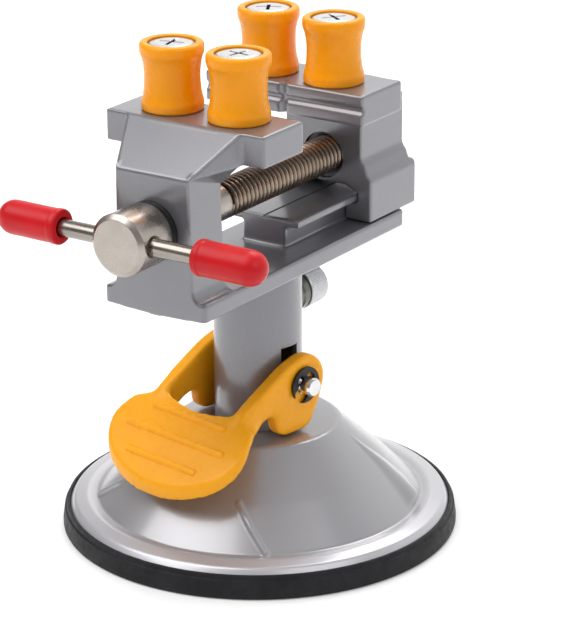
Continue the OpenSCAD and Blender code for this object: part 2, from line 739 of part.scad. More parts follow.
module lead_screw() {
    core_r = screw_r - screw_thread_h;
    turns = floor((screw_reach - 1.5 - thread_start) / screw_pitch);
    thread = [for (i = [0 : turns - 1]) let (y = thread_start + i * screw_pitch) each [
        [screw_r, y + screw_pitch * 0.18], [core_r, y + screw_pitch * 0.45],
        [core_r, y + screw_pitch * 0.55], [screw_r, y + screw_pitch * 0.82]]];
    mouth_r = bar_d / 2 + 1.2;
    side = sqrt(pow(head_d / 2, 2) - pow(mouth_r, 2)) - 0.1;
    neck_r = screw_r - 0.8;
    color(nickel) difference() {
        translate([0, 0, screw_z]) turned_y(concat(
            [[0, head_face], [head_d / 2 - head_cut, head_face],
             [head_d / 2, head_face + head_cut], [head_d / 2, head_rear], [screw_r, head_rear],
             [screw_r, ring_y - face_gap], [neck_r, ring_y - face_gap],
             [neck_r, ring_y + ring_t], [screw_r, ring_y + ring_t]],
            thread,
            [[screw_r, screw_reach - 1.2], [screw_r - 1.2, screw_reach], [0, screw_reach]]));
        rod_x(bar_d / 2 + turn_gap, -head_d, head_d, bar_y, screw_z);
        // open mouths of the cross hole
        for (s = [0, 180])
            translate([0, bar_y, screw_z]) rotate([0, 0, s]) translate([side - 0.9, 0, 0])
                rotate([0, 90, 0]) cylinder(r1 = bar_d / 2, r2 = mouth_r + 0.6, h = 2);
    }
}

module spindle_washer() {
    color(black) difference() {
        rod_y(washer_d / 2, washer_front, washer_front + washer_t, screw_z);
        rod_y(screw_r + turn_gap, -through, 0, screw_z);
    }
}

module snap_ring() {
    neck_r = screw_r - 0.8;
    color(black) difference() {
        rod_y(ring_d / 2, ring_y, ring_y + ring_t - face_gap, screw_z);
        rod_y(neck_r + face_gap, -through, 0, screw_z);
        translate([-1.5, ring_y - 1, screw_z - ring_d]) cube([3, ring_t + 2, ring_d]);
    }
}

module tommy_bar() {
    color(nickel) rod_x(bar_d / 2, bar_shift - bar_l / 2 + cap_end, bar_shift + bar_l / 2 - cap_end,
                        bar_y, screw_z);
}

// Soft cap on one end of the bar: s is 1 for the right end and -1 for the left
module bar_cap(s) {
    r = cap_d / 2;
    color(red) translate([bar_shift, bar_y, screw_z]) rotate([0, s > 0 ? 0 : 180, 0])
        translate([bar_l / 2, 0, 0]) rotate([0, -90, 0]) rotate_extrude() polygon(concat(
            arc(0, r, r, 270, 360, 6),
            [[r, cap_l - 2.4], [r + 0.3, cap_l - 1.8], [r + 0.3, cap_l - 0.5], [r - 0.2, cap_l],
             [bar_d / 2 + face_gap, cap_l], [bar_d / 2 + face_gap, cap_end - face_gap],
             [0, cap_end - face_gap]]));
}

module bar_cap_left() { bar_cap(-1); }

module bar_cap_right() { bar_cap(1); }

// ---------- pegs ----------

// Peg with a waist, a sunk seat and a bore for its screw
module peg(x, y) {
    seat_z = peg_h - peg_screw_sink - peg_screw_head_t;
    r = peg_d / 2;
    top_r = peg_top_d / 2;
    waist_r = peg_waist_d / 2;
    span = peg_h - 2 * peg_band - 1;
    color(orange) translate([x, y, plate_top]) rotate_extrude() polygon(concat(
        [[peg_screw_d / 2 + turn_gap, 0], [r - 0.5, 0], [r, 0.5], [r, peg_band]],
        [for (i = [1 : 7]) let (t = i / 8)
            [waist_r + (r - waist_r) * pow(2 * t - 1, 2), peg_band + 1 + span * t]],
        [[top_r - 0.4, peg_h - peg_band], [top_r, peg_h - peg_band + 0.4],
         [top_r, peg_h - 0.7], [top_r - 0.7, peg_h],
         [peg_screw_head_d / 2 + 0.6, peg_h], [peg_screw_head_d / 2 + 0.2, peg_h - 0.4],
         [peg_screw_head_d / 2 + 0.2, seat_z], [peg_screw_d / 2 + turn_gap, seat_z]]));
}

module peg_front_left() { peg(-peg_pitch / 2, fixed_peg_y); }

module peg_front_right() { peg(peg_pitch / 2, fixed_peg_y); }

module peg_rear_left() { peg(-peg_pitch / 2, moving_peg_y); }

module peg_rear_right() { peg(peg_pitch / 2, moving_peg_y); }

// Wide flat screw that holds a peg on its plate
module peg_screw(x, y) {
    seat_z = plate_top + peg_h - peg_screw_sink - peg_screw_head_t + face_gap;
    head_top = seat_z + peg_screw_head_t;
    r = peg_screw_head_d / 2;
    blade = [1.4, 0.53 * peg_screw_head_d];
    color(zinc) translate([x, y, 0]) difference() {
        rotate_extrude() polygon([
            [0, plate_bottom + 1], [peg_screw_d / 2, plate_bottom + 1],
            [peg_screw_d / 2, seat_z], [r, seat_z], [r, head_top - 0.5],
            [r - 0.8, head_top], [0, head_top]]);
        for (turn = [20, 110]) rotate([0, 0, turn])
            translate([-blade[0] / 2, -blade[1] / 2, head_top - cross_depth])
                cube([blade[0], blade[1], cross_depth + 1]);
    }
}

module peg_screws_front() {
    for (s = [-1, 1]) peg_screw(s * peg_pitch / 2, fixed_peg_y);
}

module peg_screws_rear() {
    for (s = [-1, 1]) peg_screw(s * peg_pitch / 2, moving_peg_y);
}

suction_pad();
pad_plate();
pull_stud();
dome_plate();
post();
clamp_nut();
clamp_screw();
cam_lever();
lever_pin();
pin_clips();
vise_body();
moving_jaw();
lead_screw();
spindle_washer();
snap_ring();
tommy_bar();
bar_cap_left();
bar_cap_right();
peg_front_left();
peg_front_right();
peg_rear_left();
peg_rear_right();
peg_screws_front();
peg_screws_rear();
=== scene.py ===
import math

import bmesh
import bpy
from mathutils import Matrix, Vector


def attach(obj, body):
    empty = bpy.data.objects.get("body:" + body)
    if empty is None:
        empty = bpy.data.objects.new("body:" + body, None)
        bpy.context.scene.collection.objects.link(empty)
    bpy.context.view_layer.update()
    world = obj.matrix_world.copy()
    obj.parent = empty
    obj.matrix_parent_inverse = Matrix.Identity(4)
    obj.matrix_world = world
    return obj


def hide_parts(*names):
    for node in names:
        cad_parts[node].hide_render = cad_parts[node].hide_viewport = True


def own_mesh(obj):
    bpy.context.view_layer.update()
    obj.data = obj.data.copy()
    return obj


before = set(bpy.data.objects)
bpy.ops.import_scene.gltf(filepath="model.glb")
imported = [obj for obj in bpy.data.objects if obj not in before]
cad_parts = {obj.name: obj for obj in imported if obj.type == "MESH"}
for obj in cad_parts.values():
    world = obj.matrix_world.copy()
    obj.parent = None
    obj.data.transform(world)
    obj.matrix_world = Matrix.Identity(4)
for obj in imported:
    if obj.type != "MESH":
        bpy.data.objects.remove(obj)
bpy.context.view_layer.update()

# ---------------------------------------------------------------- sizes
# All sizes are in millimetres and are made metres when a mesh is drawn.

MM = 0.001

# suction base
PAD_R = 62.5
RIM_Z = 7.3
DOME_R = 60.1
CREASE_R = 51.3
HUB_R = 26.5
HUB_Z = 34.0
DOME_WALL = 2.0
SHELF_Z = RIM_Z - DOME_WALL
MIDDLE_LOW_Z = 5.2
MIDDLE_Z = 9.2
BEAD_HALF = 1.3
BEAD_RISE = 1.1
RIDGE_RISE = 2.1
RIDGE_START_R = 29.0
RIDGE_RUN = 21.0
MIRROR_ANGLE = -100
BASE_TURN = math.radians(-10)

# post
POST_R = 13.85
POST_WALL = 1.87
POST_BORE_R = POST_R - POST_WALL
POST_TOP = 84.0
SLOT_W = 7.0
SLOT_LOW = 41.5
SLOT_HIGH = 61.0

# lever
PIN_Z = 50.0
PIN_R = 3.0
PIN_HALF = 24.5
ARM_IN = 14.6
ARM_OUT = 19.6
ARM_HUB_R = 8.6
FOOT_R = 5.3
FOOT_FRONT = -11.9
FOOT_REAR = 5.3
FOOT_Z = -15.2
PADDLE_RX = 28.2
PADDLE_RY = 13.1
PADDLE_Y = -35.5
RIB_R = 1.2
HOLLOW_R = 41.0
HOLLOW_Y = 13.5
CLIP_R = 5.8
CLIP_T = 1.0

# clamp screw
CLAMP_Z = 69.8
CLAMP_R = 4.0
CLAMP_HEAD_R = 6.5
CLAMP_HEAD_L = 9.4
KEY_ACROSS = 6.0
NUT_END = POST_R + 7.7
NUT_R = 6.2

# vise body
BASE_Z = 90.35
BASE_HALF = 18.4
BASE_EDGE_Z = 84.9
FRONT_Y = -53.4
REAR_Y = 56.8
BLOCK_REAR = -37.0
BLOCK_HALF = 13.1
BLOCK_LOW_HALF = 13.9
PLATE_LOW = 129.3
PLATE_TOP = 139.04
FIXED_FACE = -16.6
FIXED_HALF = 28.5
PANEL_HALF = 20.55
PANEL_DROP = 11.5
GUSSET_DROP = 6.8
RAIL_TOP = 99.35
RAIL_UNDER = 96.95
RAIL_HALF = 12.6
RAIL_NECK = 8.05
RAIL_START = 4.0
TENON_Z = 63.5
GROOVE_LOW = 64.5
GROOVE_HIGH = 73.5

# moving jaw
MOVING_FACE = 14.55
MOVING_REAR = 37.15
MOVING_HALF = 29.05
NECK_HALF = 14.2
NECK_END = MOVING_REAR + 25.0
FOOT_END = MOVING_REAR + 27.0
FOOT_HALF = 17.95
SHOULDER_Z = 104.95
NECK_Z = 112.35
VEE_Z = PLATE_TOP - 4.7
VEE_HALF = 1.5
VEE_DEPTH = 1.5

# lead screw
SCREW_Z = 110.4
SCREW_R = 5.9
THREAD_H = 1.0
PITCH = 2.1
THREAD_START = -21.0
SCREW_END = 64.0
RING_Y = -38.25
RECESS_R = 8.3
HEAD_R = 9.5
HEAD_FACE = -70.9
HEAD_REAR = -56.5
BAR_Y = -65.1
BAR_R = 2.625
BAR_MID = 0.6
BAR_HALF = 47.4
CAP_R = 5.25
CAP_L = 23.0
WASHER_R = 9.25

# pegs
PEG_X = 12.05
FIXED_PEG_Y = -25.8
MOVING_PEG_Y = 24.9
PEG_H = 20.5
PEG_R = 9.4
PEG_TOP_R = 9.7
PEG_WAIST_R = 8.4
PEG_SCREW_R = 7.1
PEG_SCREW_Z = PLATE_TOP + PEG_H - 0.25

# ---------------------------------------------------------------- modelling tools


def deselect():
    if bpy.context.object and bpy.context.object.mode == "EDIT":
        bpy.ops.object.mode_set(mode="OBJECT")
    bpy.ops.object.select_all(action="DESELECT")


def activate(obj):
    deselect()
    obj.select_set(True)
    bpy.context.view_layer.objects.active = obj


def arc(cx, cy, r, a0, a1, n=8):
    """Points of an arc, with its angles in degrees."""
    angles = [math.radians(a0 + (a1 - a0) * i / n) for i in range(n + 1)]
    return [(cx + r * math.cos(a), cy + r * math.sin(a)) for a in angles]


def soft(corners, n=5, closed=False):
    """Rounds an outline's corners. Each corner is (x, y) or (x, y, radius)."""
    points = []
    count = len(corners)
    for i, corner in enumerate(corners):
        here = Vector(corner[:2])
        radius = corner[2] if len(corner) > 2 else 0
        inner = closed or 0 < i < count - 1
        if not radius or not inner:
            points.append(tuple(here))
            continue
        to_last = (Vector(corners[i - 1][:2]) - here).normalized()
        to_next = (Vector(corners[(i + 1) % count][:2]) - here).normalized()
        half = to_last.angle(to_next) / 2
        reach = radius / math.tan(half)
        centre = here + (to_last + to_next).normalized() * radius / math.sin(half)
        first = here + to_last * reach - centre
        last = here + to_next * reach - centre
        for k in range(n + 1):
            t = k / n
            spoke = (first * (1 - t) + last * t).normalized() * radius
            points.append(tuple(centre + spoke))
    return points


def drawn_line(name, points):
    """A chain of edges, started from one corner of a plane and extruded point by point.
    It is left in edit mode with all of it selected. Points are (x, y, z)."""
    deselect()
    bpy.ops.mesh.primitive_plane_add(size=MM)
    obj = bpy.context.active_object
    obj.name = name
    bpy.ops.object.mode_set(mode="EDIT")
    bpy.ops.mesh.select_all(action="SELECT")
    bpy.ops.mesh.merge(type="CENTER")
    here = Vector(points[0])
    bpy.ops.transform.translate(value=here * MM)
    for point in points[1:]:
        step = (Vector(point) - here) * MM
        bpy.ops.mesh.extrude_vertices_move(TRANSFORM_OT_translate={"value": step})
        here = Vector(point)
    bpy.ops.mesh.select_all(action="SELECT")
    return obj


def close_line(obj):
    """Joins the last point of a chain to its first."""
    mesh = bmesh.from_edit_mesh(obj.data)
    ends = [v for v in mesh.verts if len(v.link_edges) == 1]
    bpy.ops.mesh.select_all(action="DESELECT")
    for v in ends:
        v.select = True
    mesh.select_flush_mode()
    bmesh.update_edit_mesh(obj.data)
    bpy.ops.mesh.edge_face_add()
    bpy.ops.mesh.select_all(action="SELECT")


def finish_mesh(obj, angle=35):
    """Merges doubles, turns faces outwards and smooths all but the sharp edges."""
    bpy.ops.object.mode_set(mode="EDIT")
    bpy.ops.mesh.select_all(action="SELECT")
    bpy.ops.mesh.remove_doubles(threshold=0.00002)
    bpy.ops.mesh.normals_make_consistent(inside=False)
    bpy.ops.object.mode_set(mode="OBJECT")
    smooth(obj, angle)
    return obj


def smooth(obj, angle=35):
    activate(obj)
    bpy.ops.object.shade_smooth_by_angle(angle=math.radians(angle))


AXES = {"X": Vector((1, 0, 0)), "Y": Vector((0, 1, 0)), "Z": Vector((0, 0, 1))}


def place(point, along, height):
    """A point of a flat outline in space: the outline lies square to the axis along."""
    u, v = point
    return {"X": (height, u, v), "Y": (u, height, v), "Z": (u, v, height)}[along]


def solid(name, outline, along, start, end):
    """A flat outline drawn out to a solid between two planes."""
    obj = drawn_line(name, [place(p, along, start) for p in outline])
    close_line(obj)
    bpy.ops.mesh.edge_face_add()
    bpy.ops.mesh.extrude_region_move(
        TRANSFORM_OT_translate={"value": AXES[along] * (end - start) * MM})
    return finish_mesh(obj)


def turned(name, profile, along="Z", centre=(0, 0, 0), steps=96, ring=False, angle=35):
    """A body of revolution. Profile points are (radius, height along the axis)."""
    points = []
    for radius, height in profile:
        x, y, z = centre
        points.append({"X": (x + height, y + radius, z), "Y": (x + radius, y + height, z),
                       "Z": (x + radius, y, z + height)}[along])
    obj = drawn_line(name, points)
    if ring:
        close_line(obj)
    bpy.ops.mesh.spin(steps=steps, angle=2 * math.pi, center=Vector(centre) * MM,
                      axis=AXES[along])
    return finish_mesh(obj, angle)


def apply_modifier(obj, kind, **settings):
    activate(obj)
    modifier = obj.modifiers.new(kind.lower(), kind)
    for key, value in settings.items():
        setattr(modifier, key, value)
    bpy.ops.object.modifier_apply(modifier=modifier.name)


def combine(obj, other, operation, solver="EXACT"):
    """Cuts, joins or intersects two solids. The second one is used up."""
    apply_modifier(obj, "BOOLEAN", object=other, operation=operation, solver=solver)
    bpy.data.objects.remove(other, do_unlink=True)
    return obj


def cut(obj, *tools):
    for tool in tools:
        combine(obj, tool, "DIFFERENCE")
    return obj


def unite(obj, *others):
    for other in others:
        combine(obj, other, "UNION")
    return obj


def soften_edges(obj, voxel, rounds):
    """Rounds all edges and inner corners of a casting, and then thins out its flat faces."""
    apply_modifier(obj, "REMESH", mode="VOXEL", voxel_size=voxel * MM, adaptivity=0.0)
    apply_modifier(obj, "SMOOTH", factor=0.5, iterations=rounds)
    apply_modifier(obj, "DECIMATE", decimate_type="DISSOLVE", angle_limit=math.radians(0.8))
    return obj


def weight_normals(obj, angle=35):
    smooth(obj, angle)
    apply_modifier(obj, "WEIGHTED_NORMAL", keep_sharp=True, weight=90)


def turn_mesh(obj, angle, axis="Z", centre=(0, 0, 0)):
    """Turns a mesh about an axis through a point."""
    point = Vector(centre) * MM
    turn = Matrix.Translation(point) @ Matrix.Rotation(angle, 4, axis) @ Matrix.Translation(-point)
    obj.data.transform(turn)


def copy_piece(obj, name, move):
    """A copy with its own mesh, moved by (x, y, z)."""
    twin = obj.copy()
    twin.data = obj.data.copy()
    twin.name = name
    twin.data.transform(Matrix.Translation(Vector(move) * MM))
    bpy.context.scene.collection.objects.link(twin)
    return twin


def dress(obj, material, body, slot, *nodes):
    """Gives a finished piece its material, its body and the CAD nodes that it stands for."""
    obj.data.materials.clear()
    obj.data.materials.append(material)
    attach(obj, body)
    if nodes:
        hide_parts(*nodes)


# ---------------------------------------------------------------- materials


class Finish:
    """A node material on Object coordinates."""

    def __init__(self, name, colour, roughness, metallic=0.0):
        self.material = bpy.data.materials.new(name)
        self.material.use_nodes = True
        self.nodes = self.material.node_tree.nodes
        self.links = self.material.node_tree.links
        self.shader = self.nodes["Principled BSDF"]
        self.shader.inputs["Base Color"].default_value = (*colour, 1)
        self.shader.inputs["Roughness"].default_value = roughness
        self.shader.inputs["Metallic"].default_value = metallic
        self.colour = colour
        self.roughness = roughness
        self.place = self.nodes.new("ShaderNodeTexCoord").outputs["Object"]
        self.height = None

    def set(self, **values):
        for name, value in values.items():
            self.shader.inputs[name.replace("_", " ")].default_value = value
        return self

    def stretched(self, scale):
        mapping = self.nodes.new("ShaderNodeMapping")
        mapping.inputs["Scale"].default_value = scale
        self.links.new(self.place, mapping.inputs["Vector"])
        return mapping.outputs["Vector"]

    def noise(self, scale, detail=2.0, stretch=None, rough=0.5):
        node = self.nodes.new("ShaderNodeTexNoise")
        node.inputs["Scale"].default_value = scale
        node.inputs["Detail"].default_value = detail
        node.inputs["Roughness"].default_value = rough
        self.links.new(self.stretched(stretch) if stretch else self.place, node.inputs["Vector"])
        return node.outputs["Fac"]

    def spread(self, value, low, high, start=0.3, end=0.7):
        node = self.nodes.new("ShaderNodeMapRange")
        node.inputs["From Min"].default_value = start
        node.inputs["From Max"].default_value = end
        node.inputs["To Min"].default_value = low
        node.inputs["To Max"].default_value = high
        self.links.new(value, node.inputs["Value"])
        return node.outputs["Result"]

    def radius(self, keep, centre=(0, 0, 0)):
        """Distance from an axis through a point. Keep has a 0 in the axis' own direction."""
        flat = self.nodes.new("ShaderNodeMapping")
        flat.inputs["Location"].default_value = [-c * MM * k for c, k in zip(centre, keep)]
        flat.inputs["Scale"].default_value = keep
        self.links.new(self.place, flat.inputs["Vector"])
        length = self.nodes.new("ShaderNodeVectorMath")
        length.operation = "LENGTH"
        self.links.new(flat.outputs["Vector"], length.inputs[0])
        return length.outputs["Value"]

    def tint(self, value, low, high, start=0.3, end=0.7):
        """Varies the colour between two shares of itself."""
        node = self.nodes.new("ShaderNodeMix")
        node.data_type = "RGBA"
        node.inputs["A"].default_value = (*[c * low for c in self.colour], 1)
        node.inputs["B"].default_value = (*[min(1, c * high) for c in self.colour], 1)
        self.links.new(self.spread(value, 0, 1, start, end), node.inputs["Factor"])
        self.links.new(node.outputs["Result"], self.shader.inputs["Base Color"])
        return self

    def vary_roughness(self, value, low, high):
        self.links.new(self.spread(value, low, high), self.shader.inputs["Roughness"])
        return self

    def bump(self, value, strength, distance):
        node = self.nodes.new("ShaderNodeBump")
        node.inputs["Strength"].default_value = strength
        node.inputs["Distance"].default_value = distance * MM
        self.links.new(value, node.inputs["Height"])
        if self.height:
            self.links.new(self.height, node.inputs["Normal"])
        self.height = node.outputs["Normal"]
        self.links.new(self.height, self.shader.inputs["Normal"])
        return self


def silver_paint(name, colour, roughness, metallic, painted_flange_highlight=False):
    """Satin silver paint. On the dome a painted highlight makes its colour brighter along the
    rolled rim.
    """
    f = Finish(name, colour, roughness, metallic)
    f.set(Specular_IOR_Level=0.5, Coat_Weight=0.9, Coat_Roughness=0.16, Coat_IOR=1.7)
    if painted_flange_highlight:
        # painted highlight: the colour is lifted to 1.45 times itself out past the crease, where
        # the rim catches the light
        f.tint(f.radius((1, 1, 0)), 1.0, 1.45, (CREASE_R - 0.5) * MM, (CREASE_R + 2.5) * MM)
    else:
        f.tint(f.noise(2600, 1.0), 0.95, 1.05)
    f.vary_roughness(f.noise(1400, 1.0), roughness - 0.03, roughness + 0.03)
    f.bump(f.noise(150, 2.0), 0.10, 0.2)
    return f.material


def orange_plastic(name, colour):
    f = Finish(name, colour, 0.28)
    f.set(Specular_IOR_Level=0.25, Subsurface_Weight=0.12, Subsurface_Radius=(1.0, 0.45, 0.1),
          Subsurface_Scale=0.0015)
    f.tint(f.noise(35, 3.0), 0.96, 1.03)
    f.vary_roughness(f.noise(300, 3.0), 0.24, 0.34)
    f.bump(f.noise(260, 2.0), 0.08, 0.08)
    return f.material


def red_vinyl():
    f = Finish("red_vinyl", (0.58, 0.005, 0.010), 0.36)
    f.set(Specular_IOR_Level=0.28)
    f.tint(f.noise(90, 3.0), 0.92, 1.06)
    f.vary_roughness(f.noise(240, 2.0), 0.30, 0.42)
    f.bump(f.noise(160, 2.0), 0.18, 0.2)
    return f.material


def thread_steel():
    """Nickel, browner along the thread, with painted shade making it near black down in its
    grooves.
    """
    f = Finish("thread_steel", (0.41, 0.37, 0.335), 0.30, 1.0)
    split = f.nodes.new("ShaderNodeSeparateXYZ")
    f.links.new(f.place, split.inputs["Vector"])
    # painted shade: the thread goes from near black at the groove bottoms to brown at its crests
    thread_tone_and_groove_shade = f.nodes.new("ShaderNodeMix")
    thread_tone_and_groove_shade.data_type = "RGBA"
    thread_tone_and_groove_shade.inputs["A"].default_value = (0.035, 0.025, 0.018, 1)
    thread_tone_and_groove_shade.inputs["B"].default_value = (0.33, 0.26, 0.20, 1)
    off_axis = f.radius((1, 0, 1), (0, 0, SCREW_Z))
    groove_shade_mask = f.spread(off_axis, 0, 1, (SCREW_R - THREAD_H) * MM, (SCREW_R - 0.1) * MM)
    f.links.new(groove_shade_mask, thread_tone_and_groove_shade.inputs["Factor"])
    mix = f.nodes.new("ShaderNodeMix")
    mix.data_type = "RGBA"
    mix.inputs["A"].default_value = (*f.colour, 1)
    f.links.new(thread_tone_and_groove_shade.outputs["Result"], mix.inputs["B"])
    f.links.new(f.spread(split.outputs["Y"], 0, 1, (THREAD_START - 1) * MM, THREAD_START * MM),
                mix.inputs["Factor"])
    f.links.new(mix.outputs["Result"], f.shader.inputs["Base Color"])
    f.vary_roughness(f.noise(260, 4.0), 0.22, 0.38)
    f.bump(f.noise(1300, 3.0), 0.40, 0.06)
    return f.material


def nickel_bar():
    f = Finish("nickel_bar", (0.31, 0.28, 0.25), 0.20, 1.0)
    f.tint(f.noise(400, 3.0, stretch=(0.3, 1, 1)), 0.88, 1.08)
    f.vary_roughness(f.noise(300, 3.0, stretch=(0.2, 1, 1)), 0.16, 0.28)
    return f.material


def zinc_steel():
    f = Finish("zinc_steel", (0.60, 0.60, 0.62), 0.34, 1.0)
    f.tint(f.noise(500, 4.0, rough=0.7), 0.86, 1.08)
    f.vary_roughness(f.noise(350, 4.0), 0.26, 0.42)
    f.bump(f.noise(1800, 2.0), 0.12, 0.05)
    return f.material


def dull_zinc():
    f = Finish("dull_zinc", (0.16, 0.16, 0.145), 0.30, 1.0)
    f.tint(f.noise(500, 4.0, rough=0.7), 0.80, 1.10)
    f.vary_roughness(f.noise(350, 4.0), 0.24, 0.40)
    return f.material


def chrome_steel():
    f = Finish("chrome_steel", (0.74, 0.74, 0.75), 0.16, 1.0)
    f.tint(f.noise(300, 2.0), 0.92, 1.05)
    f.vary_roughness(f.noise(500, 3.0), 0.10, 0.22)
    return f.material


def peg_chrome_recess_shade():
    """Chrome with painted shade: its colour goes dark down in the cross recess of a peg screw."""
    f = Finish("peg_chrome_recess_shade", (0.78, 0.78, 0.79), 0.20, 1.0)
    split = f.nodes.new("ShaderNodeSeparateXYZ")
    f.links.new(f.place, split.inputs["Vector"])
    # painted shade: below the screw's top the colour falls to 0.03 of itself
    f.tint(split.outputs["Z"], 0.03, 1.0, (PEG_SCREW_Z - 0.38) * MM, (PEG_SCREW_Z - 0.22) * MM)
    f.vary_roughness(f.noise(500, 3.0), 0.14, 0.26)
    return f.material


def black_rubber():
    f = Finish("black_rubber", (0.010, 0.010, 0.012), 0.46)
    f.set(Specular_IOR_Level=0.25)
    f.tint(f.noise(120, 4.0), 0.7, 1.6)
    f.vary_roughness(f.noise(500, 3.0), 0.44, 0.62)
    f.bump(f.noise(900, 3.0), 0.15, 0.1)
    return f.material


def black_steel():
    f = Finish("black_steel", (0.014, 0.014, 0.015), 0.40, 0.3)
    f.tint(f.noise(600, 3.0), 0.7, 1.5)
    f.vary_roughness(f.noise(500, 3.0), 0.30, 0.46)
    f.bump(f.noise(1600, 2.0), 0.12, 0.05)
    return f.material


SILVER = silver_paint("silver_paint", (0.185, 0.184, 0.203), 0.40, 0.5)
# the dome's paint carries a painted highlight along its rolled rim
BRIGHT = silver_paint("dome_paint_flange_highlight", (0.355, 0.348, 0.368), 0.38, 0.5, painted_flange_highlight=True)
ORANGE = orange_plastic("lever_orange", (0.96, 0.405, 0.008))
PEG_ORANGE = orange_plastic("peg_orange", (0.95, 0.345, 0.004))
RED = red_vinyl()
NICKEL = thread_steel()
BAR = nickel_bar()
ZINC = zinc_steel()
DULL_ZINC = dull_zinc()
CHROME = chrome_steel()
PEG_CHROME_RECESS_SHADE = peg_chrome_recess_shade()
RUBBER = black_rubber()
BLACK = black_steel()

# ---------------------------------------------------------------- suction base


def suction_pad():
    """The pad, drawn as a rim that stays on the bench and a raised middle piece of its own.
    On the real pad the middle flattens when the lever lets it down.
    """
    shelf, low = SHELF_Z - 0.05, 1.0
    middle_r, hinge_r = 22, 50
    rim = soft([
        (hinge_r, low), (53, 0, 0.4), (PAD_R, 0, 0.5), (PAD_R, 1.5, 1),
        (61.9, SHELF_Z + 0.4, 0.3), (61.35, SHELF_Z + 0.6, 0.25), (61.1, RIM_Z, 0.25),
        (DOME_R + 0.1, RIM_Z, 0.2), (DOME_R + 0.1, shelf), (hinge_r, shelf)])
    dress(turned("suction_cup", rim, ring=True, steps=160), RUBBER, "base", "black_rubber",
          "suction_pad")
    middle = turned("suction_middle", soft([
        (0, MIDDLE_LOW_Z), (middle_r, MIDDLE_LOW_Z, 3), (hinge_r - 0.02, low),
        (hinge_r - 0.02, shelf), (middle_r, MIDDLE_Z, 3), (0, MIDDLE_Z)]), steps=160)
    dress(middle, RUBBER, "base", "black_rubber", "suction_pad")
    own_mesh(middle)


def off_line(point, line):
    """Distance from a point to a chain of straight lines."""
    best = 1e9
    for a, b in zip(line, line[1:]):
        a, b = Vector(a), Vector(b)
        t = max(0, min(1, (point - a).dot(b - a) / (b - a).length_squared))
        best = min(best, (point - a.lerp(b, t)).length)
    return best


def ease(t):
    t = max(0.0, min(1.0, t))
    return t * t * (3 - 2 * t)


def along_line(r, line):
    """Reads an angle off a line of (radius, degrees)."""
    for (r0, a0), (r1, a1) in zip(line, line[1:]):
        if r <= r1 or r1 == line[-1][0]:
            return a0 + (a1 - a0) * (r - r0) / (r1 - r0)


def polar(r, degrees):
    return Vector((r * math.cos(math.radians(degrees)), r * math.sin(math.radians(degrees))))


def ridge_rise(r, angle):
    """Height of the broad pressed ridge over the cone. It widens towards the rim."""
    first = along_line(r, [(30, 18.6), (33, 17.6), (40, 15.2), (49, 11.6), (52, 10.6)])
    last = along_line(r, [(30, 22.0), (32, 23.5), (38.5, 28.6), (44.7, 31.3), (52, 31)])
    across = (angle - first) / (last - first)
    if not 0 < across < 1:
        return 0.0
    run = max(0.0, (r - RIDGE_START_R) / RIDGE_RUN)
    end = ease((CREASE_R - 0.4 - r) / 1.3)
    return RIDGE_RISE * run * ease(across / 0.45) * ease((1 - across) / 0.55) * end


def dome_plate():
    quick = 1
    hole_r = POST_BORE_R + 1.05
    outer = soft([
        (hole_r, HUB_Z), (HUB_R - 1.2, HUB_Z, 3.2), (39.6, 20.9, 30), (CREASE_R, 9.1, 1.4),
        (54.6, 9.75, 3), (58.6, 8.7, 2), (DOME_R - 0.1, 6.9, 0.5), (DOME_R - 0.1, SHELF_Z)], 7)
    # the cone's long straight runs are split, so that the ribs can rise from them
    spacing = 0.62 * quick
    fine = []
    for a, b in zip(outer, outer[1:]):
        parts = max(1, round((Vector(b) - Vector(a)).length / spacing))
        fine += [tuple(Vector(a).lerp(Vector(b), k / parts)) for k in range(parts)]
    inner = [(DOME_R - 0.1, SHELF_Z), (CREASE_R + 0.6, SHELF_Z), (CREASE_R - 0.4, SHELF_Z + 0.5),
             (CREASE_R - 1.8, 7.9), (HUB_R - 1.6, HUB_Z - DOME_WALL),
             (hole_r, HUB_Z - DOME_WALL)]
    dome = turned("dome_shell", fine + inner, steps=560 // quick, ring=True, angle=50)
    # two thin beads lie beside the lever, and two broad ridges behind it
    beads = [[polar(39.5, -64.6), polar(45.0, -58.6), polar(50.3, -53.6)],
             [polar(40.5, -128.0), polar(44.3, -131.7), polar(50.3, -139.4)]]
    for v in dome.data.vertices:
        x, y, z = v.co / MM
        r = math.hypot(x, y)
        # only points of the cone's outer face move
        if not HUB_R + 1 < r < CREASE_R + 0.5 or z < 8.3 or z < 9.1 + (CREASE_R - r) * 0.90:
            continue
        angle = math.degrees(math.atan2(y, x))
        mirror_angle = (2 * MIRROR_ANGLE - angle + 180) % 360 - 180
        rise = ridge_rise(r, angle) + ridge_rise(r, mirror_angle)
        for bead in beads:
            off = off_line(Vector((x, y)), bead)
            if off < BEAD_HALF:
                fade = 0.35 + 0.65 * ease((r - beads[0][0].length) / 5)
                rise += BEAD_RISE * fade * ease(1.25 * (1 - off / BEAD_HALF))
        v.co += Vector((0.7 * x / r, 0.7 * y / r, 0.7)) * rise * MM
    dress(dome, BRIGHT, "base", "silver_paint", "dome_plate")


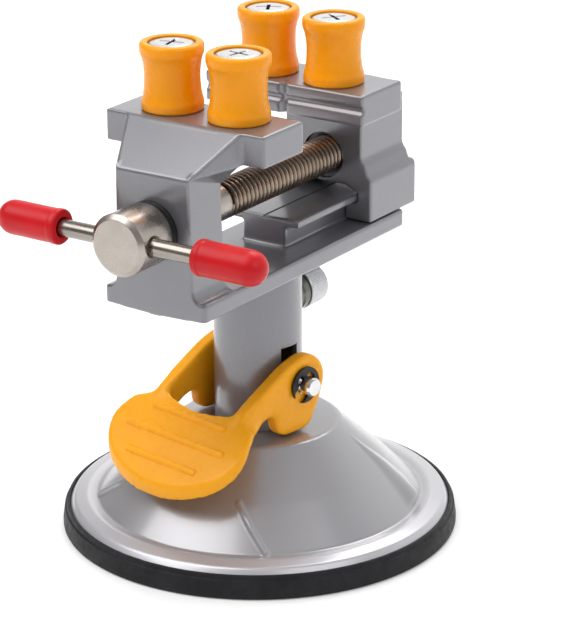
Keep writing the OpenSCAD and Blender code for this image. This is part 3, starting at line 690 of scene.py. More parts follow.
def post():
    tube = turned("post_tube", soft([
        (POST_BORE_R - 0.8, HUB_Z - 2.2), (POST_BORE_R + 1, HUB_Z - 2.2, 0.2),
        (POST_BORE_R + 1, HUB_Z + 0.05), (POST_R, HUB_Z + 0.05), (POST_R, POST_TOP, 0.35),
        (POST_BORE_R, POST_TOP, 0.35), (POST_BORE_R, HUB_Z + 2), (POST_BORE_R - 0.8, HUB_Z + 2)]),
        ring=True, steps=128)
    slot = solid("slot_tool", [(-SLOT_W / 2, SLOT_LOW), (SLOT_W / 2, SLOT_LOW),
                               (SLOT_W / 2, SLOT_HIGH), (-SLOT_W / 2, SLOT_HIGH)],
                 "X", -20, 20)
    turn_mesh(slot, BASE_TURN)
    hole = turned("hole_tool", [(0, 0), (CLAMP_R + 1.05, 0), (CLAMP_R + 1.05, 20), (0, 20)],
                  "Y", (0, 0, CLAMP_Z), steps=48)
    cut(tube, slot, hole)
    smooth(tube, 30)
    dress(tube, SILVER, "base", "silver_paint", "post")


def clamp_nut():
    collar = turned("clamp_collar", soft([
        (CLAMP_R + 0.05, 11), (NUT_R, 11), (NUT_R, NUT_END - 4.9, 0.3),
        (NUT_R - 0.5, NUT_END - 4.5, 0.3), (NUT_R - 0.5, NUT_END - 4.0, 0.3),
        (NUT_R, NUT_END - 3.6, 0.3), (NUT_R, NUT_END - 1.0, 0.5), (NUT_R - 0.9, NUT_END, 0.4),
        (CLAMP_R + 0.4, NUT_END, 0.2), (CLAMP_R + 0.05, NUT_END - 0.4)]),
        "Y", (0, 0, CLAMP_Z), steps=72, ring=True)
    cut(collar, turned("saddle_tool", [(0, 40), (POST_R + 0.04, 40), (POST_R + 0.04, 90),
                                       (0, 90)], steps=160))
    sleeve = turned("clamp_sleeve", [(CLAMP_R + 0.05, POST_BORE_R + 0.5),
                                     (CLAMP_R + 1, POST_BORE_R + 0.5),
                                     (CLAMP_R + 1, POST_R + 1.0), (CLAMP_R + 0.05, POST_R + 1.0)],
                    "Y", (0, 0, CLAMP_Z), steps=72, ring=True)
    unite(collar, sleeve)
    smooth(collar)
    dress(collar, DULL_ZINC, "base", "zinc_steel", "clamp_nut")


def clamp_screw():
    start = NUT_END + 0.05
    end = start + CLAMP_HEAD_L
    ridges = 60
    tooth = 2 * math.pi / ridges
    outline = []
    for i in range(ridges):
        for share, r in ((0, CLAMP_HEAD_R - 0.14), (0.5, CLAMP_HEAD_R)):
            a = (i + share) * tooth
            outline.append((r * math.cos(a), CLAMP_Z + r * math.sin(a)))
    head = solid("clamp_bolt", outline, "Y", start, end)
    shape = turned("head_tool", soft([
        (0, start - 1), (CLAMP_HEAD_R - 0.5, start - 1), (CLAMP_HEAD_R - 0.3, start),
        (CLAMP_HEAD_R + 0.1, start + 0.5), (CLAMP_HEAD_R + 0.1, end - 1.0),
        (CLAMP_HEAD_R - 0.9, end, 0.5), (0, end)]), "Y", (0, 0, CLAMP_Z), steps=96)
    combine(head, shape, "INTERSECT")
    shank = turned("shank", soft([
        (0, POST_BORE_R + 0.1), (CLAMP_R - 0.8, POST_BORE_R + 0.1), (CLAMP_R, POST_BORE_R + 0.9),
        (CLAMP_R, start + 1), (0, start + 1)]), "Y", (0, 0, CLAMP_Z), steps=48)
    unite(head, shank)
    corner_r = KEY_ACROSS / math.sqrt(3)
    hexagon = [(corner_r * math.cos(math.radians(60 * i)),
                CLAMP_Z + corner_r * math.sin(math.radians(60 * i))) for i in range(6)]
    socket = solid("socket_tool", hexagon, "Y", end - 4.2, end + 1)
    mouth = turned("mouth_tool", [(0, end - 0.5), (3.0, end - 0.5), (3.7, end + 0.2),
                                  (0, end + 0.2)], "Y", (0, 0, CLAMP_Z), steps=48)
    cut(head, socket, mouth)
    smooth(head, 30)
    dress(head, ZINC, "clamp", "zinc_steel", "clamp_screw")


# ---------------------------------------------------------------- lever


def over_pin(points):
    """Moves points that are measured from the pin to its height."""
    return [(y, z + PIN_Z) for y, z in points]


def arm_outline():
    """Side outline of one arm with its cam foot, from the round end at the pin."""
    corner_z = FOOT_Z + FOOT_R
    points = arc(1.2, 0.5, ARM_HUB_R, -20, 100, 20)
    points += [(-4.3, 7.9), (-8.1, 6.4), (-13.3, 3.6), (-19.5, 0.3), (-25.7, -3.0), (-28, -5.4),
               (-31, -9.0)]
    points += [(-27, -11), (-22.2, -10.6), (-19.7, -10.1), (-17.8, -8.8), (-15.3, -8.1),
               (FOOT_FRONT, -7.6)]
    points += arc(FOOT_FRONT + FOOT_R, corner_z, FOOT_R, 180, 270, 12)
    points += arc(FOOT_REAR - FOOT_R, corner_z, FOOT_R, 270, 350, 12) + [(7.4, -7.5)]
    return over_pin(points)


def paddle_blank():
    """The paddle: an oval seen from above, cut from a curved sheet."""
    top = [(-51.1, -25.7), (-47.0, -21.7), (-42.9, -17.9), (-36.9, -12.2), (-30.4, -7.4),
           (-20.5, -1.2)]
    drop = (2.4, -2.6)
    under = [(y + drop[0], z + drop[1]) for y, z in reversed(top)]
    sheet = solid("cam_fork", over_pin(top + under), "X", -30, 30)
    angles = [math.radians(a) for a in range(0, 360, 5)]
    oval = [(PADDLE_RX * math.cos(a), PADDLE_Y + PADDLE_RY * math.sin(a)) for a in angles]
    combine(sheet, solid("oval_tool", oval, "Z", 10, 70), "INTERSECT")
    hollow = turned("hollow_tool", [(0, 10), (HOLLOW_R, 10), (HOLLOW_R, 70), (0, 70)], "Z",
                    (0, HOLLOW_Y, 0), steps=160)
    return cut(sheet, hollow)


def arm_web(side):
    """Widens the lower side of an arm out to the rim of the paddle."""
    plan = [(18.6, -17.5), (19.6, -17.5), (21.5, -22), (24, -26), (25.8, -29), (27.1, -32),
            (27.6, -34), (18.6, -34)]
    rise = [(-17.4, -7.6), (-22, -7.2), (-26, -6.6), (-29, -6.7), (-33.4, -9.6), (-32, -11.8),
            (-29, -10.3), (-26, -10), (-22, -10.2), (-17.4, -9)]
    web = solid("web", [(side * x, y) for x, y in plan], "Z", 20, 60)
    return combine(web, solid("web_tool", over_pin(rise), "X", -30, 30), "INTERSECT")


def cam_lever():
    lever = paddle_blank()
    unite(lever, solid("arm_right", arm_outline(), "X", ARM_IN, ARM_OUT),
          solid("arm_left", arm_outline(), "X", -ARM_OUT, -ARM_IN), arm_web(1), arm_web(-1))
    voxel, fewer = ((0.38, 1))
    apply_modifier(lever, "REMESH", mode="VOXEL", voxel_size=voxel * MM, adaptivity=0.0)
    # the moulded corners are rounded, and more where the arms run into the paddle
    crease = [(19.9, -15, 43), (19.9, -20, 43.2), (19.9, -25, 43.8), (18.5, -29, 43.5),
              (15, -31, 42)]
    blend = lever.vertex_groups.new(name="blend")
    for v in lever.data.vertices:
        x, y, z = v.co / MM
        near = off_line(Vector((abs(x), y, z)), crease)
        blend.add([v.index], max(0.0, min(1.0, 1.45 - near / 5)), "REPLACE")
    apply_modifier(lever, "SMOOTH", factor=0.5, iterations=200 // fewer, vertex_group="blend")
    apply_modifier(lever, "SMOOTH", factor=0.5, iterations=64 // fewer)
    ribs = [(-30.4, -7.4, 16.0), (-36.9, -12.2, 21.4), (-42.9, -17.9, 15.4)]
    for y, z, half in ribs:
        end_r = RIB_R - 0.1
        side = soft([(0, -half), (RIB_R, -half, end_r), (RIB_R, half, end_r), (0, half)])
        rod = turned("finger_rib", side, "X", (0, y + 0.25, PIN_Z + z - 0.2), steps=32)
        combine(lever, rod, "UNION", "MANIFOLD")
    bore = turned("bore_tool", [(0, -25), (PIN_R + 0.05, -25), (PIN_R + 0.05, 25), (0, 25)], "X",
                  (0, 0, PIN_Z), steps=64)
    combine(lever, bore, "DIFFERENCE", "MANIFOLD")
    turn_mesh(lever, BASE_TURN)
    smooth(lever, 45)
    dress(lever, ORANGE, "lever", "orange_plastic", "cam_lever")


def lever_pin():
    clip_x = ARM_OUT + 0.3
    half = [(0, PIN_HALF), (PIN_R - 0.5, PIN_HALF, 0.15), (PIN_R, PIN_HALF - 0.8, 0.3),
            (PIN_R, clip_x + CLIP_T + 0.05), (PIN_R - 0.6, clip_x + CLIP_T + 0.05),
            (PIN_R - 0.6, clip_x - 0.05), (PIN_R, clip_x - 0.05)]
    other = [(r, -x, *rest) for r, x, *rest in reversed(half)]
    pin = turned("cross_pin", soft(half + other), "X", (0, 0, PIN_Z), steps=64)
    turn_mesh(pin, BASE_TURN)
    dress(pin, CHROME, "lift", "chrome_steel", "lever_pin")


def spring_clips():
    """Open spring clips: a horseshoe with three inner lugs."""
    grip = PIN_R - 0.55
    outline = arc(0, 0, CLIP_R, 255, -75, 36)
    outline += [(grip + 0.2, -4.4), (grip + 0.2, -1.6)]
    outline += arc(0, 0, grip + 1.7, -12, 20, 4) + arc(0, 0, grip, 32, 58, 4)
    outline += arc(0, 0, grip + 1.7, 66, 114, 6) + arc(0, 0, grip, 122, 148, 4)
    outline += arc(0, 0, grip + 1.7, 160, 192, 4)
    outline += [(-grip - 0.2, -1.6), (-grip - 0.2, -4.4)]
    for name, start in (("clip_right", ARM_OUT + 0.3), ("clip_left", -ARM_OUT - 0.3 - CLIP_T)):
        clip = solid(name, [(y, z + PIN_Z) for y, z in outline], "X", start, start + CLIP_T)
        apply_modifier(clip, "BEVEL", width=0.18 * MM, segments=2, limit_method="ANGLE",
                       angle_limit=math.radians(40))
        turn_mesh(clip, math.radians(-40), "X", (0, 0, PIN_Z))
        turn_mesh(clip, BASE_TURN)
        weight_normals(clip)
        dress(clip, BLACK, "lift", "black_steel", "pin_clips")


# ---------------------------------------------------------------- castings


def slope_panel(name, y0, y1, half, drop):
    """The sloping panel and its two gussets, from a jaw plate at y0 to the top edge of its
    block at y1."""
    low = PLATE_LOW - GUSSET_DROP
    back = [(-half, low), (half, low), (PANEL_HALF, PLATE_LOW), (PANEL_HALF, PLATE_TOP),
            (-PANEL_HALF, PLATE_TOP), (-PANEL_HALF, PLATE_LOW)]
    panel = solid(name, back, "Y", y0, y1)
    for v in panel.data.vertices:
        if abs(v.co.y - y1 * MM) < 0.01 * MM:
            v.co.x = math.copysign(half * MM, v.co.x)
            v.co.z = (PLATE_TOP - drop) * MM
    activate(panel)
    return finish_mesh(panel)


def mirrored(points):
    return points + [(-x, z) for x, z in reversed(points)]


def vise_body():
    corner = 1.6
    flat = []
    for sx, sy, y in ((-1, -1, FRONT_Y), (1, -1, FRONT_Y), (1, 1, REAR_Y), (-1, 1, REAR_Y)):
        flat.append((sx * BASE_HALF, y, corner))
    body = solid("vise_casting", soft(flat, 4, closed=True), "Z", 80, BASE_Z)
    keel = [(-BASE_HALF, BASE_Z + 2), (-BASE_HALF, BASE_EDGE_Z), (0, POST_TOP + 0.05),
            (BASE_HALF, BASE_EDGE_Z), (BASE_HALF, BASE_Z + 2)]
    combine(body, solid("keel_tool", keel, "Y", FRONT_Y - 1, REAR_Y + 1), "INTERSECT")
    fillet = 3.6
    block = mirrored(
        [(BASE_HALF - 1, BASE_Z - 1), (BASE_HALF - 1, BASE_Z)]
        + arc(BLOCK_LOW_HALF + fillet, BASE_Z + fillet, fillet, 270, 180, 6)
        + [(BLOCK_HALF, PLATE_LOW), (BLOCK_HALF, PLATE_TOP - PANEL_DROP)])
    plate = [(-FIXED_HALF, BLOCK_REAR), (FIXED_HALF, BLOCK_REAR), (FIXED_HALF, FIXED_FACE),
             (-FIXED_HALF, FIXED_FACE)]
    tie = [(-BLOCK_HALF, BLOCK_REAR - 1), (BLOCK_HALF, BLOCK_REAR - 1),
           (BLOCK_HALF, BLOCK_REAR + 1), (-BLOCK_HALF, BLOCK_REAR + 1)]
    rail = [(-RAIL_NECK, BASE_Z - 1), (RAIL_NECK, BASE_Z - 1), (RAIL_NECK, RAIL_UNDER),
            (RAIL_HALF, RAIL_UNDER), (RAIL_HALF, RAIL_TOP), (-RAIL_HALF, RAIL_TOP),
            (-RAIL_HALF, RAIL_UNDER), (-RAIL_NECK, RAIL_UNDER)]
    unite(body, solid("block", block, "Y", FRONT_Y, BLOCK_REAR),
          solid("plate", plate, "Z", PLATE_LOW, PLATE_TOP),
          solid("tie", tie, "Z", PLATE_LOW - 1, PLATE_TOP - 0.5),
          slope_panel("panel", BLOCK_REAR, FRONT_Y, BLOCK_HALF, PANEL_DROP),
          solid("rail", rail, "Y", RAIL_START, REAR_Y))
    soften_edges(body, 0.45, 8)
    tenon_r, groove_r, seat = POST_BORE_R - 0.05, POST_BORE_R - 0.85, POST_TOP + 0.05
    tenon = turned("tenon", soft([
        (0, TENON_Z), (tenon_r, TENON_Z, 0.5), (tenon_r, GROOVE_LOW), (groove_r, GROOVE_LOW),
        (groove_r, GROOVE_HIGH), (tenon_r, GROOVE_HIGH), (tenon_r, seat), (POST_R, seat),
        (POST_R, seat + 2.45), (0, seat + 2.45)]), steps=96)
    unite(body, tenon)
    bearing = turned("bearing_tool", [
        (0, FRONT_Y - 1), (SCREW_R + 0.05, FRONT_Y - 1), (SCREW_R + 0.05, RING_Y - 0.2),
        (RECESS_R, RING_Y - 0.2), (RECESS_R, BLOCK_REAR + 1), (0, BLOCK_REAR + 1)],
        "Y", (0, 0, SCREW_Z), steps=96)
    line = [(-0.5, RAIL_TOP - 0.4), (0.5, RAIL_TOP - 0.4), (0.5, RAIL_TOP + 1),
            (-0.5, RAIL_TOP + 1)]
    cut(body, bearing, solid("line_tool", line, "Y", RAIL_START - 1, REAR_Y + 1))
    weight_normals(body)
    dress(body, SILVER, "head", "silver_paint", "vise_body")


def moving_jaw():
    foot_z = BASE_Z + 0.3
    outer = arc(FOOT_HALF - 2.6, SHOULDER_Z - 1.6, 2.6, 0, 60, 6)
    inner = arc(NECK_HALF + 3.2, NECK_Z - 0.8, 3.2, 235, 180, 6)
    neck = mirrored([(FOOT_HALF, foot_z)] + outer + inner + [(NECK_HALF, PLATE_TOP - PANEL_DROP)])
    foot = mirrored([(FOOT_HALF, foot_z)] + outer + [(NECK_HALF, SHOULDER_Z + 0.6)])
    plate = [(-MOVING_HALF, MOVING_FACE), (MOVING_HALF, MOVING_FACE), (MOVING_HALF, MOVING_REAR),
             (-MOVING_HALF, MOVING_REAR)]
    tie = [(-NECK_HALF, MOVING_REAR - 1), (NECK_HALF, MOVING_REAR - 1),
           (NECK_HALF, MOVING_REAR + 1), (-NECK_HALF, MOVING_REAR + 1)]
    groove = [(VEE_HALF * (1 + 1 / VEE_DEPTH), MOVING_FACE - 1), (0, MOVING_FACE + VEE_DEPTH)]
    level = [(y, VEE_Z + h) for h, y in groove] + [(MOVING_FACE - 1, VEE_Z - groove[0][0])]
    upright = groove + [(-groove[0][0], MOVING_FACE - 1)]
    grooved = cut(solid("plate", plate, "Z", PLATE_LOW, PLATE_TOP),
                  solid("level_tool", level, "X", -40, 40),
                  solid("upright_tool", upright, "Z", PLATE_LOW - 5, PLATE_TOP + 5))
    jaw = solid("moving_casting", neck, "Y", MOVING_REAR, NECK_END)
    unite(jaw, solid("foot", foot, "Y", MOVING_REAR, FOOT_END), grooved,
          solid("tie", tie, "Z", PLATE_LOW - 1, PLATE_TOP - 0.5),
          slope_panel("panel", MOVING_REAR, NECK_END, NECK_HALF, PANEL_DROP + 2))
    slide = 0.3
    arch = [(RAIL_NECK + slide, foot_z - 1), (RAIL_NECK + slide, RAIL_UNDER - slide),
            (RAIL_HALF + slide, RAIL_UNDER - slide), (RAIL_HALF + slide, RAIL_TOP + slide),
            (RAIL_HALF + slide - 5, RAIL_TOP + 2.4)]
    cut(jaw, solid("arch_tool", mirrored(arch), "Y", MOVING_REAR - 1, FOOT_END + 1))
    soften_edges(jaw, 0.45, 8)
    bore = turned("bore_tool", [
        (0, MOVING_REAR - 1), (SCREW_R + 1.6, MOVING_REAR - 1), (SCREW_R + 1.6, MOVING_REAR + 2),
        (SCREW_R + 0.05, MOVING_REAR + 2.6), (SCREW_R + 0.05, FOOT_END + 1), (0, FOOT_END + 1)],
        "Y", (0, 0, SCREW_Z), steps=96)
    cut(jaw, bore)
    weight_normals(jaw)
    dress(jaw, SILVER, "jaw", "silver_paint", "moving_jaw")


# ---------------------------------------------------------------- lead screw and bar


def lead_screw():
    thread_end = SCREW_END - 1.4
    core_r = SCREW_R - THREAD_H
    rod = turned("lead_spindle", soft([
        (0, HEAD_FACE), (HEAD_R - 1.5, HEAD_FACE, 0.3), (HEAD_R, HEAD_FACE + 1.3, 0.4),
        (HEAD_R, HEAD_REAR, 0.4), (SCREW_R, HEAD_REAR), (SCREW_R, RING_Y - 0.05),
        (SCREW_R - 0.8, RING_Y - 0.05), (SCREW_R - 0.8, RING_Y + 1.2), (SCREW_R, RING_Y + 1.2),
        (SCREW_R, THREAD_START, 0.4), (core_r, THREAD_START + 0.8), (core_r, thread_end),
        (core_r - 0.8, SCREW_END, 0.2), (0, SCREW_END)]), "Y", (0, 0, SCREW_Z), steps=96)
    turns = int((thread_end - THREAD_START) / PITCH) - 1
    start = THREAD_START - 0.2
    ridge = [(core_r - 0.3, start), (core_r - 0.3, start + PITCH * 0.92),
             (core_r + 0.02, start + PITCH * 0.86), (SCREW_R, start + PITCH * 0.58),
             (SCREW_R, start + PITCH * 0.38), (core_r + 0.02, start + PITCH * 0.08)]
    # the ridge is drawn about Z, wound up as a helix and then laid along Y
    thread = drawn_line("thread", [(r, 0, y) for r, y in ridge])
    close_line(thread)
    bpy.ops.mesh.edge_face_add()
    bpy.ops.object.mode_set(mode="OBJECT")
    apply_modifier(thread, "SCREW", angle=2 * math.pi, screw_offset=PITCH * MM,
                   iterations=turns, steps=40, render_steps=40, axis="Z", use_merge_vertices=True)
    return rod, thread


def wind_thread():
    rod, thread = lead_screw()
    activate(thread)
    bpy.ops.object.mode_set(mode="EDIT")
    bpy.ops.mesh.select_all(action="SELECT")
    bpy.ops.mesh.fill_holes(sides=0)
    finish_mesh(thread)
    thread.data.transform(Matrix.Rotation(math.radians(-90), 4, "X"))
    thread.data.transform(Matrix.Translation(Vector((0, 0, SCREW_Z)) * MM))
    combine(rod, thread, "UNION", "MANIFOLD")
    hole = turned("cross_tool", [(0, -15), (BAR_R + 0.05, -15), (BAR_R + 0.05, 15), (0, 15)], "X",
                  (0, BAR_Y, SCREW_Z), steps=64)
    cut(rod, hole)
    for s in (-1, 1):
        cone = [(0, s * 8.2), (BAR_R, s * 8.2), (BAR_R + 1.9, s * 10.2), (0, s * 10.2)]
        cut(rod, turned("mouth_tool", cone, "X", (0, BAR_Y, SCREW_Z), steps=64))
    smooth(rod, 28)
    dress(rod, NICKEL, "spindle", "nickel_steel", "lead_screw")


def spindle_washer():
    y0, y1 = FRONT_Y - 3.05, FRONT_Y - 0.05
    washer = turned("thrust_washer", soft([
        (SCREW_R + 0.05, y0), (WASHER_R, y0, 0.3), (WASHER_R, y0 + 1.3, 0.2),
        (WASHER_R - 0.5, y0 + 1.5, 0.1), (WASHER_R, y0 + 1.7, 0.2), (WASHER_R, y1, 0.3),
        (SCREW_R + 0.05, y1)]), "Y", (0, 0, SCREW_Z), steps=96, ring=True)
    dress(washer, BLACK, "head", "black_steel", "spindle_washer")


def tommy_bar():
    ends = BAR_HALF - 3
    bar = turned("tommy_rod", soft([
        (0, BAR_MID - ends), (BAR_R, BAR_MID - ends, 0.5), (BAR_R, BAR_MID + ends, 0.5),
        (0, BAR_MID + ends)]), "X", (0, BAR_Y, SCREW_Z), steps=64)
    dress(bar, BAR, "bar", "nickel_steel", "tommy_bar")
    bore_r = BAR_R + 0.05
    for name, s in (("bar_cap_left", -1), ("bar_cap_right", 1)):
        tip = BAR_MID + s * BAR_HALF
        profile = arc(0, 0, CAP_R, 270, 360, 10)
        cap = [(r, tip - s * (h + CAP_R)) for r, h in profile]
        cap += [(r, tip - s * h) for r, h in soft([
            (CAP_R, CAP_R + 0.5), (CAP_R, CAP_L - 2.6, 0.3), (CAP_R + 0.18, CAP_L - 2.2, 0.4),
            (CAP_R + 0.18, CAP_L - 0.2, 0.8), (bore_r + 0.4, CAP_L, 0.5),
            (bore_r, CAP_L - 0.8, 0.3), (bore_r, 2.95), (0, 2.95)])]
        piece = turned(name + "_grip", cap, "X", (0, BAR_Y, SCREW_Z), steps=64)
        dress(piece, RED, "bar", "red_vinyl", name)


# ---------------------------------------------------------------- pegs


def peg_profile():
    """Side outline of a peg, with a hollow waist between two bands."""
    seat = PEG_H - 2.6
    low, high = 2.6, PEG_H - 3.2
    steps, arc_share = 24, 0.93
    deepest = 1 - math.sqrt(1 - arc_share ** 2)
    waist = []
    for i in range(steps + 1):
        across = abs(2 * i / steps - 1)
        end_r = PEG_R if i < steps / 2 else PEG_TOP_R
        hollow = (1 - math.sqrt(1 - (arc_share * across) ** 2)) / deepest
        waist.append((PEG_WAIST_R + (end_r - PEG_WAIST_R) * hollow,
                      low + (high - low) * i / steps))
    foot = soft([(2.05, 0), (PEG_R, 0, 0.6), (PEG_R, low, 4), waist[2]], 6)[:-1]
    rim = soft([waist[-3], (PEG_TOP_R, high, 4), (PEG_TOP_R, PEG_H, 1.1),
                (PEG_SCREW_R + 0.1, PEG_H, 0.5), (PEG_SCREW_R + 0.1, seat), (2.05, seat)], 5)[1:]
    return foot + waist[2:-2] + rim


PEG_ROWS = (("front", "head", FIXED_PEG_Y), ("rear", "jaw", MOVING_PEG_Y))
CROSS_TURNS = {("front", "left"): 12, ("front", "right"): -8, ("rear", "left"): 30,
               ("rear", "right"): 55}


def pegs():
    outline = [(r, PLATE_TOP + h) for r, h in peg_profile()]
    model = turned("peg_model", outline, steps=96, ring=True)
    screw = peg_screw()
    for row, body, y in PEG_ROWS:
        screws = []
        for side, s in (("left", -1), ("right", 1)):
            node = f"peg_{row}_{side}"
            peg = copy_piece(model, node + "_turned", (s * PEG_X, y, 0))
            dress(peg, PEG_ORANGE, body, "orange_plastic", node)
            one = copy_piece(screw, f"peg_screw_{row}_{side}", (0, 0, 0))
            turn_mesh(one, math.radians(CROSS_TURNS[row, side]))
            one.data.transform(Matrix.Translation(Vector((s * PEG_X, y, 0)) * MM))
            screws.append(one)
        for one in screws:
            # the screws' chrome has painted shade in the cross recess
            dress(one, PEG_CHROME_RECESS_SHADE, body, "chrome_steel", f"peg_screws_{row}")
    bpy.data.objects.remove(model, do_unlink=True)
    bpy.data.objects.remove(screw, do_unlink=True)


def peg_screw():
    """A wide flat screw with a cross recess, cut by two tapered blades."""
    top, seat = PEG_SCREW_Z, PEG_SCREW_Z - 1.85
    blade_size = (1.7, 10.5, 3.0)
    screw = turned("peg_screw_model", soft([
        (0, PLATE_LOW + 1), (2, PLATE_LOW + 1, 0.3), (2, seat), (PEG_SCREW_R, seat, 0.3),
        (PEG_SCREW_R, top - 0.4, 0.3), (PEG_SCREW_R - 2.2, top - 0.03, 3), (0, top)]), steps=96)
    for turn in (0, 90):
        deselect()
        bpy.ops.mesh.primitive_cube_add(size=1, location=(0, 0, (top + 0.2) * MM))
        blade = bpy.context.active_object
        blade.data.transform(Matrix.Diagonal((*[size * MM for size in blade_size], 1)))
        for v in blade.data.vertices:
            if v.co.z < 0:
                v.co.x *= 0.4
                v.co.y *= 0.55
        blade.data.transform(Matrix.Translation(blade.location))
        blade.location = (0, 0, 0)
        turn_mesh(blade, math.radians(turn))
        cut(screw, blade)
    smooth(screw, 30)
    return screw


# ---------------------------------------------------------------- hidden steel parts

for node in ("pad_plate", "pull_stud"):
    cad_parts[node].data.materials.clear()
    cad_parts[node].data.materials.append(ZINC)
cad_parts["snap_ring"].data.materials.clear()
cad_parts["snap_ring"].data.materials.append(BLACK)

suction_pad()
dome_plate()
post()
clamp_nut()
clamp_screw()
cam_lever()
lever_pin()
spring_clips()
vise_body()
moving_jaw()
wind_thread()
spindle_washer()
tommy_bar()
pegs()

# ---------------------------------------------------------------- camera and light

VIEW_AZIMUTH = math.radians(34.16)
VIEW_RISE = math.radians(20.3)
VIEW_ROLL = math.radians(-0.39)
VIEW_DISTANCE = 873.0
VIEW_HEIGHT = 65.6
VIEW_ASIDE = 8.3
FOCAL_PX = 2804.0
IMAGE_WIDTH_PX = 569.0

# the world: heights are sines of the angle over the horizon
WALL_TOP = 0.45
CEILING_START = 0.92
CEILING = 0.45
BACKDROP_EDGE = (0.2, 0.65)
FRONT_WALL = 0.32
WORLD_LIGHT = 1.0
FLOOR_GLOW = 0.14
FAR_GLOW = 0.55


def add_camera():
    data = bpy.data.cameras.new("view")
    data.sensor_fit = "HORIZONTAL"
    data.sensor_width = 36.0
    data.lens = FOCAL_PX * data.sensor_width / IMAGE_WIDTH_PX
    data.clip_start = 0.05
    data.clip_end = 20
    camera = bpy.data.objects.new("view", data)
    bpy.context.scene.collection.objects.link(camera)
    a, e = VIEW_AZIMUTH, VIEW_RISE
    right = Vector((math.cos(a), math.sin(a), 0))
    back = Vector((math.sin(a) * math.cos(e), -math.cos(a) * math.cos(e), math.sin(e)))
    up = back.cross(right)
    target = Vector((0, 0, VIEW_HEIGHT)) + right * VIEW_ASIDE
    turn = Matrix((right, up, back)).transposed().to_4x4()
    camera.matrix_world = (Matrix.Translation((target + back * VIEW_DISTANCE) * MM) @ turn
                           @ Matrix.Rotation(VIEW_ROLL, 4, "Z"))
    bpy.context.scene.camera = camera


def add_lamp(name, azimuth, rise, distance, size, power):
    """A square soft box, aimed at the middle of the vise."""
    data = bpy.data.lights.new(name, "AREA")
    data.shape = "SQUARE"
    data.size = size
    data.energy = power
    lamp = bpy.data.objects.new(name, data)
    bpy.context.scene.collection.objects.link(lamp)
    a, e = math.radians(azimuth), math.radians(rise)
    direction = Vector((math.sin(a) * math.cos(e), -math.cos(a) * math.cos(e), math.sin(e)))
    lamp.location = Vector((0, 0, 0.08)) + direction * distance
    lamp.rotation_euler = direction.to_track_quat("Z", "Y").to_euler()


def seen_rays(nodes, links):
    """1 for the rays of the camera and of glossy and clear surfaces, else 0."""
    path = nodes.new("ShaderNodeLightPath")
    last = path.outputs["Is Camera Ray"]
    for name in ("Is Glossy Ray", "Is Transmission Ray"):
        either = nodes.new("ShaderNodeMath")
        either.operation = "MAXIMUM"
        links.new(last, either.inputs[0])
        links.new(path.outputs[name], either.inputs[1])
        last = either.outputs["Value"]
    return last


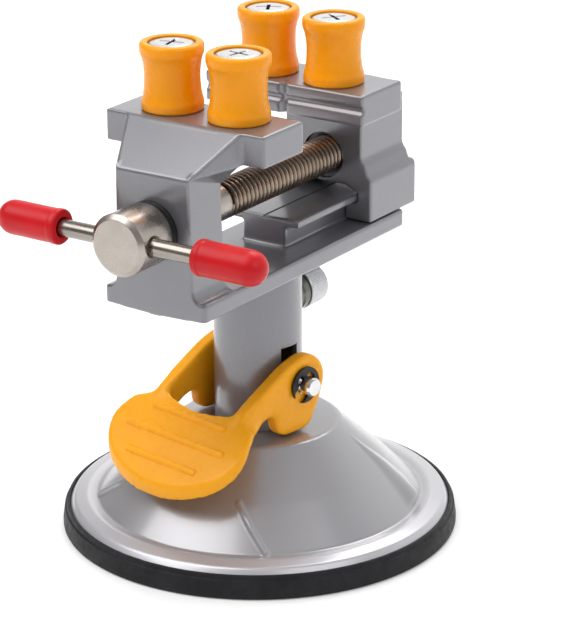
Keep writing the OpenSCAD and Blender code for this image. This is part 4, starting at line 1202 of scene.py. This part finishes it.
def add_world():
    """A white backdrop, under a grey ceiling and with greyer walls behind the camera.
    The camera itself sees plain white all round."""
    world = bpy.data.worlds.new("studio")
    bpy.context.scene.world = world
    world.use_nodes = True
    nodes, links = world.node_tree.nodes, world.node_tree.links
    where = nodes.new("ShaderNodeTexCoord")
    split = nodes.new("ShaderNodeSeparateXYZ")
    links.new(where.outputs["Generated"], split.inputs["Vector"])

    def ramp(value, start, end, low, high):
        node = nodes.new("ShaderNodeMapRange")
        node.interpolation_type = "SMOOTHSTEP"
        for name, number in (("From Min", start), ("From Max", end), ("To Min", low),
                             ("To Max", high)):
            node.inputs[name].default_value = number
        links.new(value, node.inputs["Value"])
        return node.outputs["Result"]

    backdrop = nodes.new("ShaderNodeVectorMath")
    backdrop.operation = "DOT_PRODUCT"
    backdrop.inputs[1].default_value = (0.17, 0.985, 0)
    links.new(where.outputs["Generated"], backdrop.inputs[0])
    both = nodes.new("ShaderNodeMix")
    both.inputs["B"].default_value = CEILING
    links.new(ramp(split.outputs["Z"], WALL_TOP, CEILING_START, 0, 1), both.inputs["Factor"])
    links.new(ramp(backdrop.outputs["Value"], *BACKDROP_EDGE, FRONT_WALL, 1), both.inputs["A"])
    light = nodes["Background"]
    light.inputs["Strength"].default_value = WORLD_LIGHT
    mirrored_light = nodes.new("ShaderNodeBackground")
    mirrored_light.inputs["Strength"].default_value = 1.0
    for node in (light, mirrored_light):
        links.new(both.outputs["Result"], node.inputs["Color"])
    shown = nodes.new("ShaderNodeBackground")
    shown.inputs["Color"].default_value = (1, 1, 1, 1)
    shown.inputs["Strength"].default_value = 1.0
    path = nodes.new("ShaderNodeLightPath")
    gloss, camera = nodes.new("ShaderNodeMixShader"), nodes.new("ShaderNodeMixShader")
    links.new(seen_rays(nodes, links), gloss.inputs["Fac"])
    links.new(light.outputs["Background"], gloss.inputs[1])
    links.new(mirrored_light.outputs["Background"], gloss.inputs[2])
    links.new(path.outputs["Is Camera Ray"], camera.inputs["Fac"])
    links.new(gloss.outputs["Shader"], camera.inputs[1])
    links.new(shown.outputs["Background"], camera.inputs[2])
    links.new(camera.outputs["Shader"], nodes["World Output"].inputs["Surface"])


def add_floor():
    deselect()
    bpy.ops.mesh.primitive_plane_add(size=6, location=(0, 0, -0.0002))
    floor = bpy.context.active_object
    floor.name = "floor"
    material = bpy.data.materials.new("pale_floor")
    material.use_nodes = True
    nodes, links = material.node_tree.nodes, material.node_tree.links
    shader = nodes["Principled BSDF"]
    shader.inputs["Base Color"].default_value = (0.90, 0.90, 0.90, 1)
    shader.inputs["Roughness"].default_value = 0.9
    shader.inputs["Specular IOR Level"].default_value = 0.1
    glow = nodes.new("ShaderNodeEmission")
    glow.inputs["Color"].default_value = (1, 1, 1, 1)
    # away from the lamps the floor glows more, so that it stays white
    where = nodes.new("ShaderNodeTexCoord")
    distance = nodes.new("ShaderNodeVectorMath")
    distance.operation = "LENGTH"
    links.new(where.outputs["Object"], distance.inputs[0])
    more = nodes.new("ShaderNodeMapRange")
    for name, number in (("From Min", 0.2), ("From Max", 1.4), ("To Min", FLOOR_GLOW),
                         ("To Max", FAR_GLOW)):
        more.inputs[name].default_value = number
    links.new(distance.outputs["Value"], more.inputs["Value"])
    links.new(more.outputs["Result"], glow.inputs["Strength"])
    add = nodes.new("ShaderNodeAddShader")
    mix = nodes.new("ShaderNodeMixShader")
    links.new(shader.outputs["BSDF"], add.inputs[0])
    links.new(glow.outputs["Emission"], add.inputs[1])
    links.new(seen_rays(nodes, links), mix.inputs["Fac"])
    links.new(shader.outputs["BSDF"], mix.inputs[1])
    links.new(add.outputs["Shader"], mix.inputs[2])
    links.new(mix.outputs["Shader"], nodes["Material Output"].inputs["Surface"])
    floor.data.materials.append(material)


add_camera()
add_world()
add_floor()
add_lamp("key", -40, 56, 1.2, 1.0, 10)
add_lamp("fill", 75, 35, 1.2, 0.8, 2.8)
add_lamp("back", 195, 55, 1.2, 0.7, 7)
bpy.context.scene.view_settings.view_transform = "Standard"
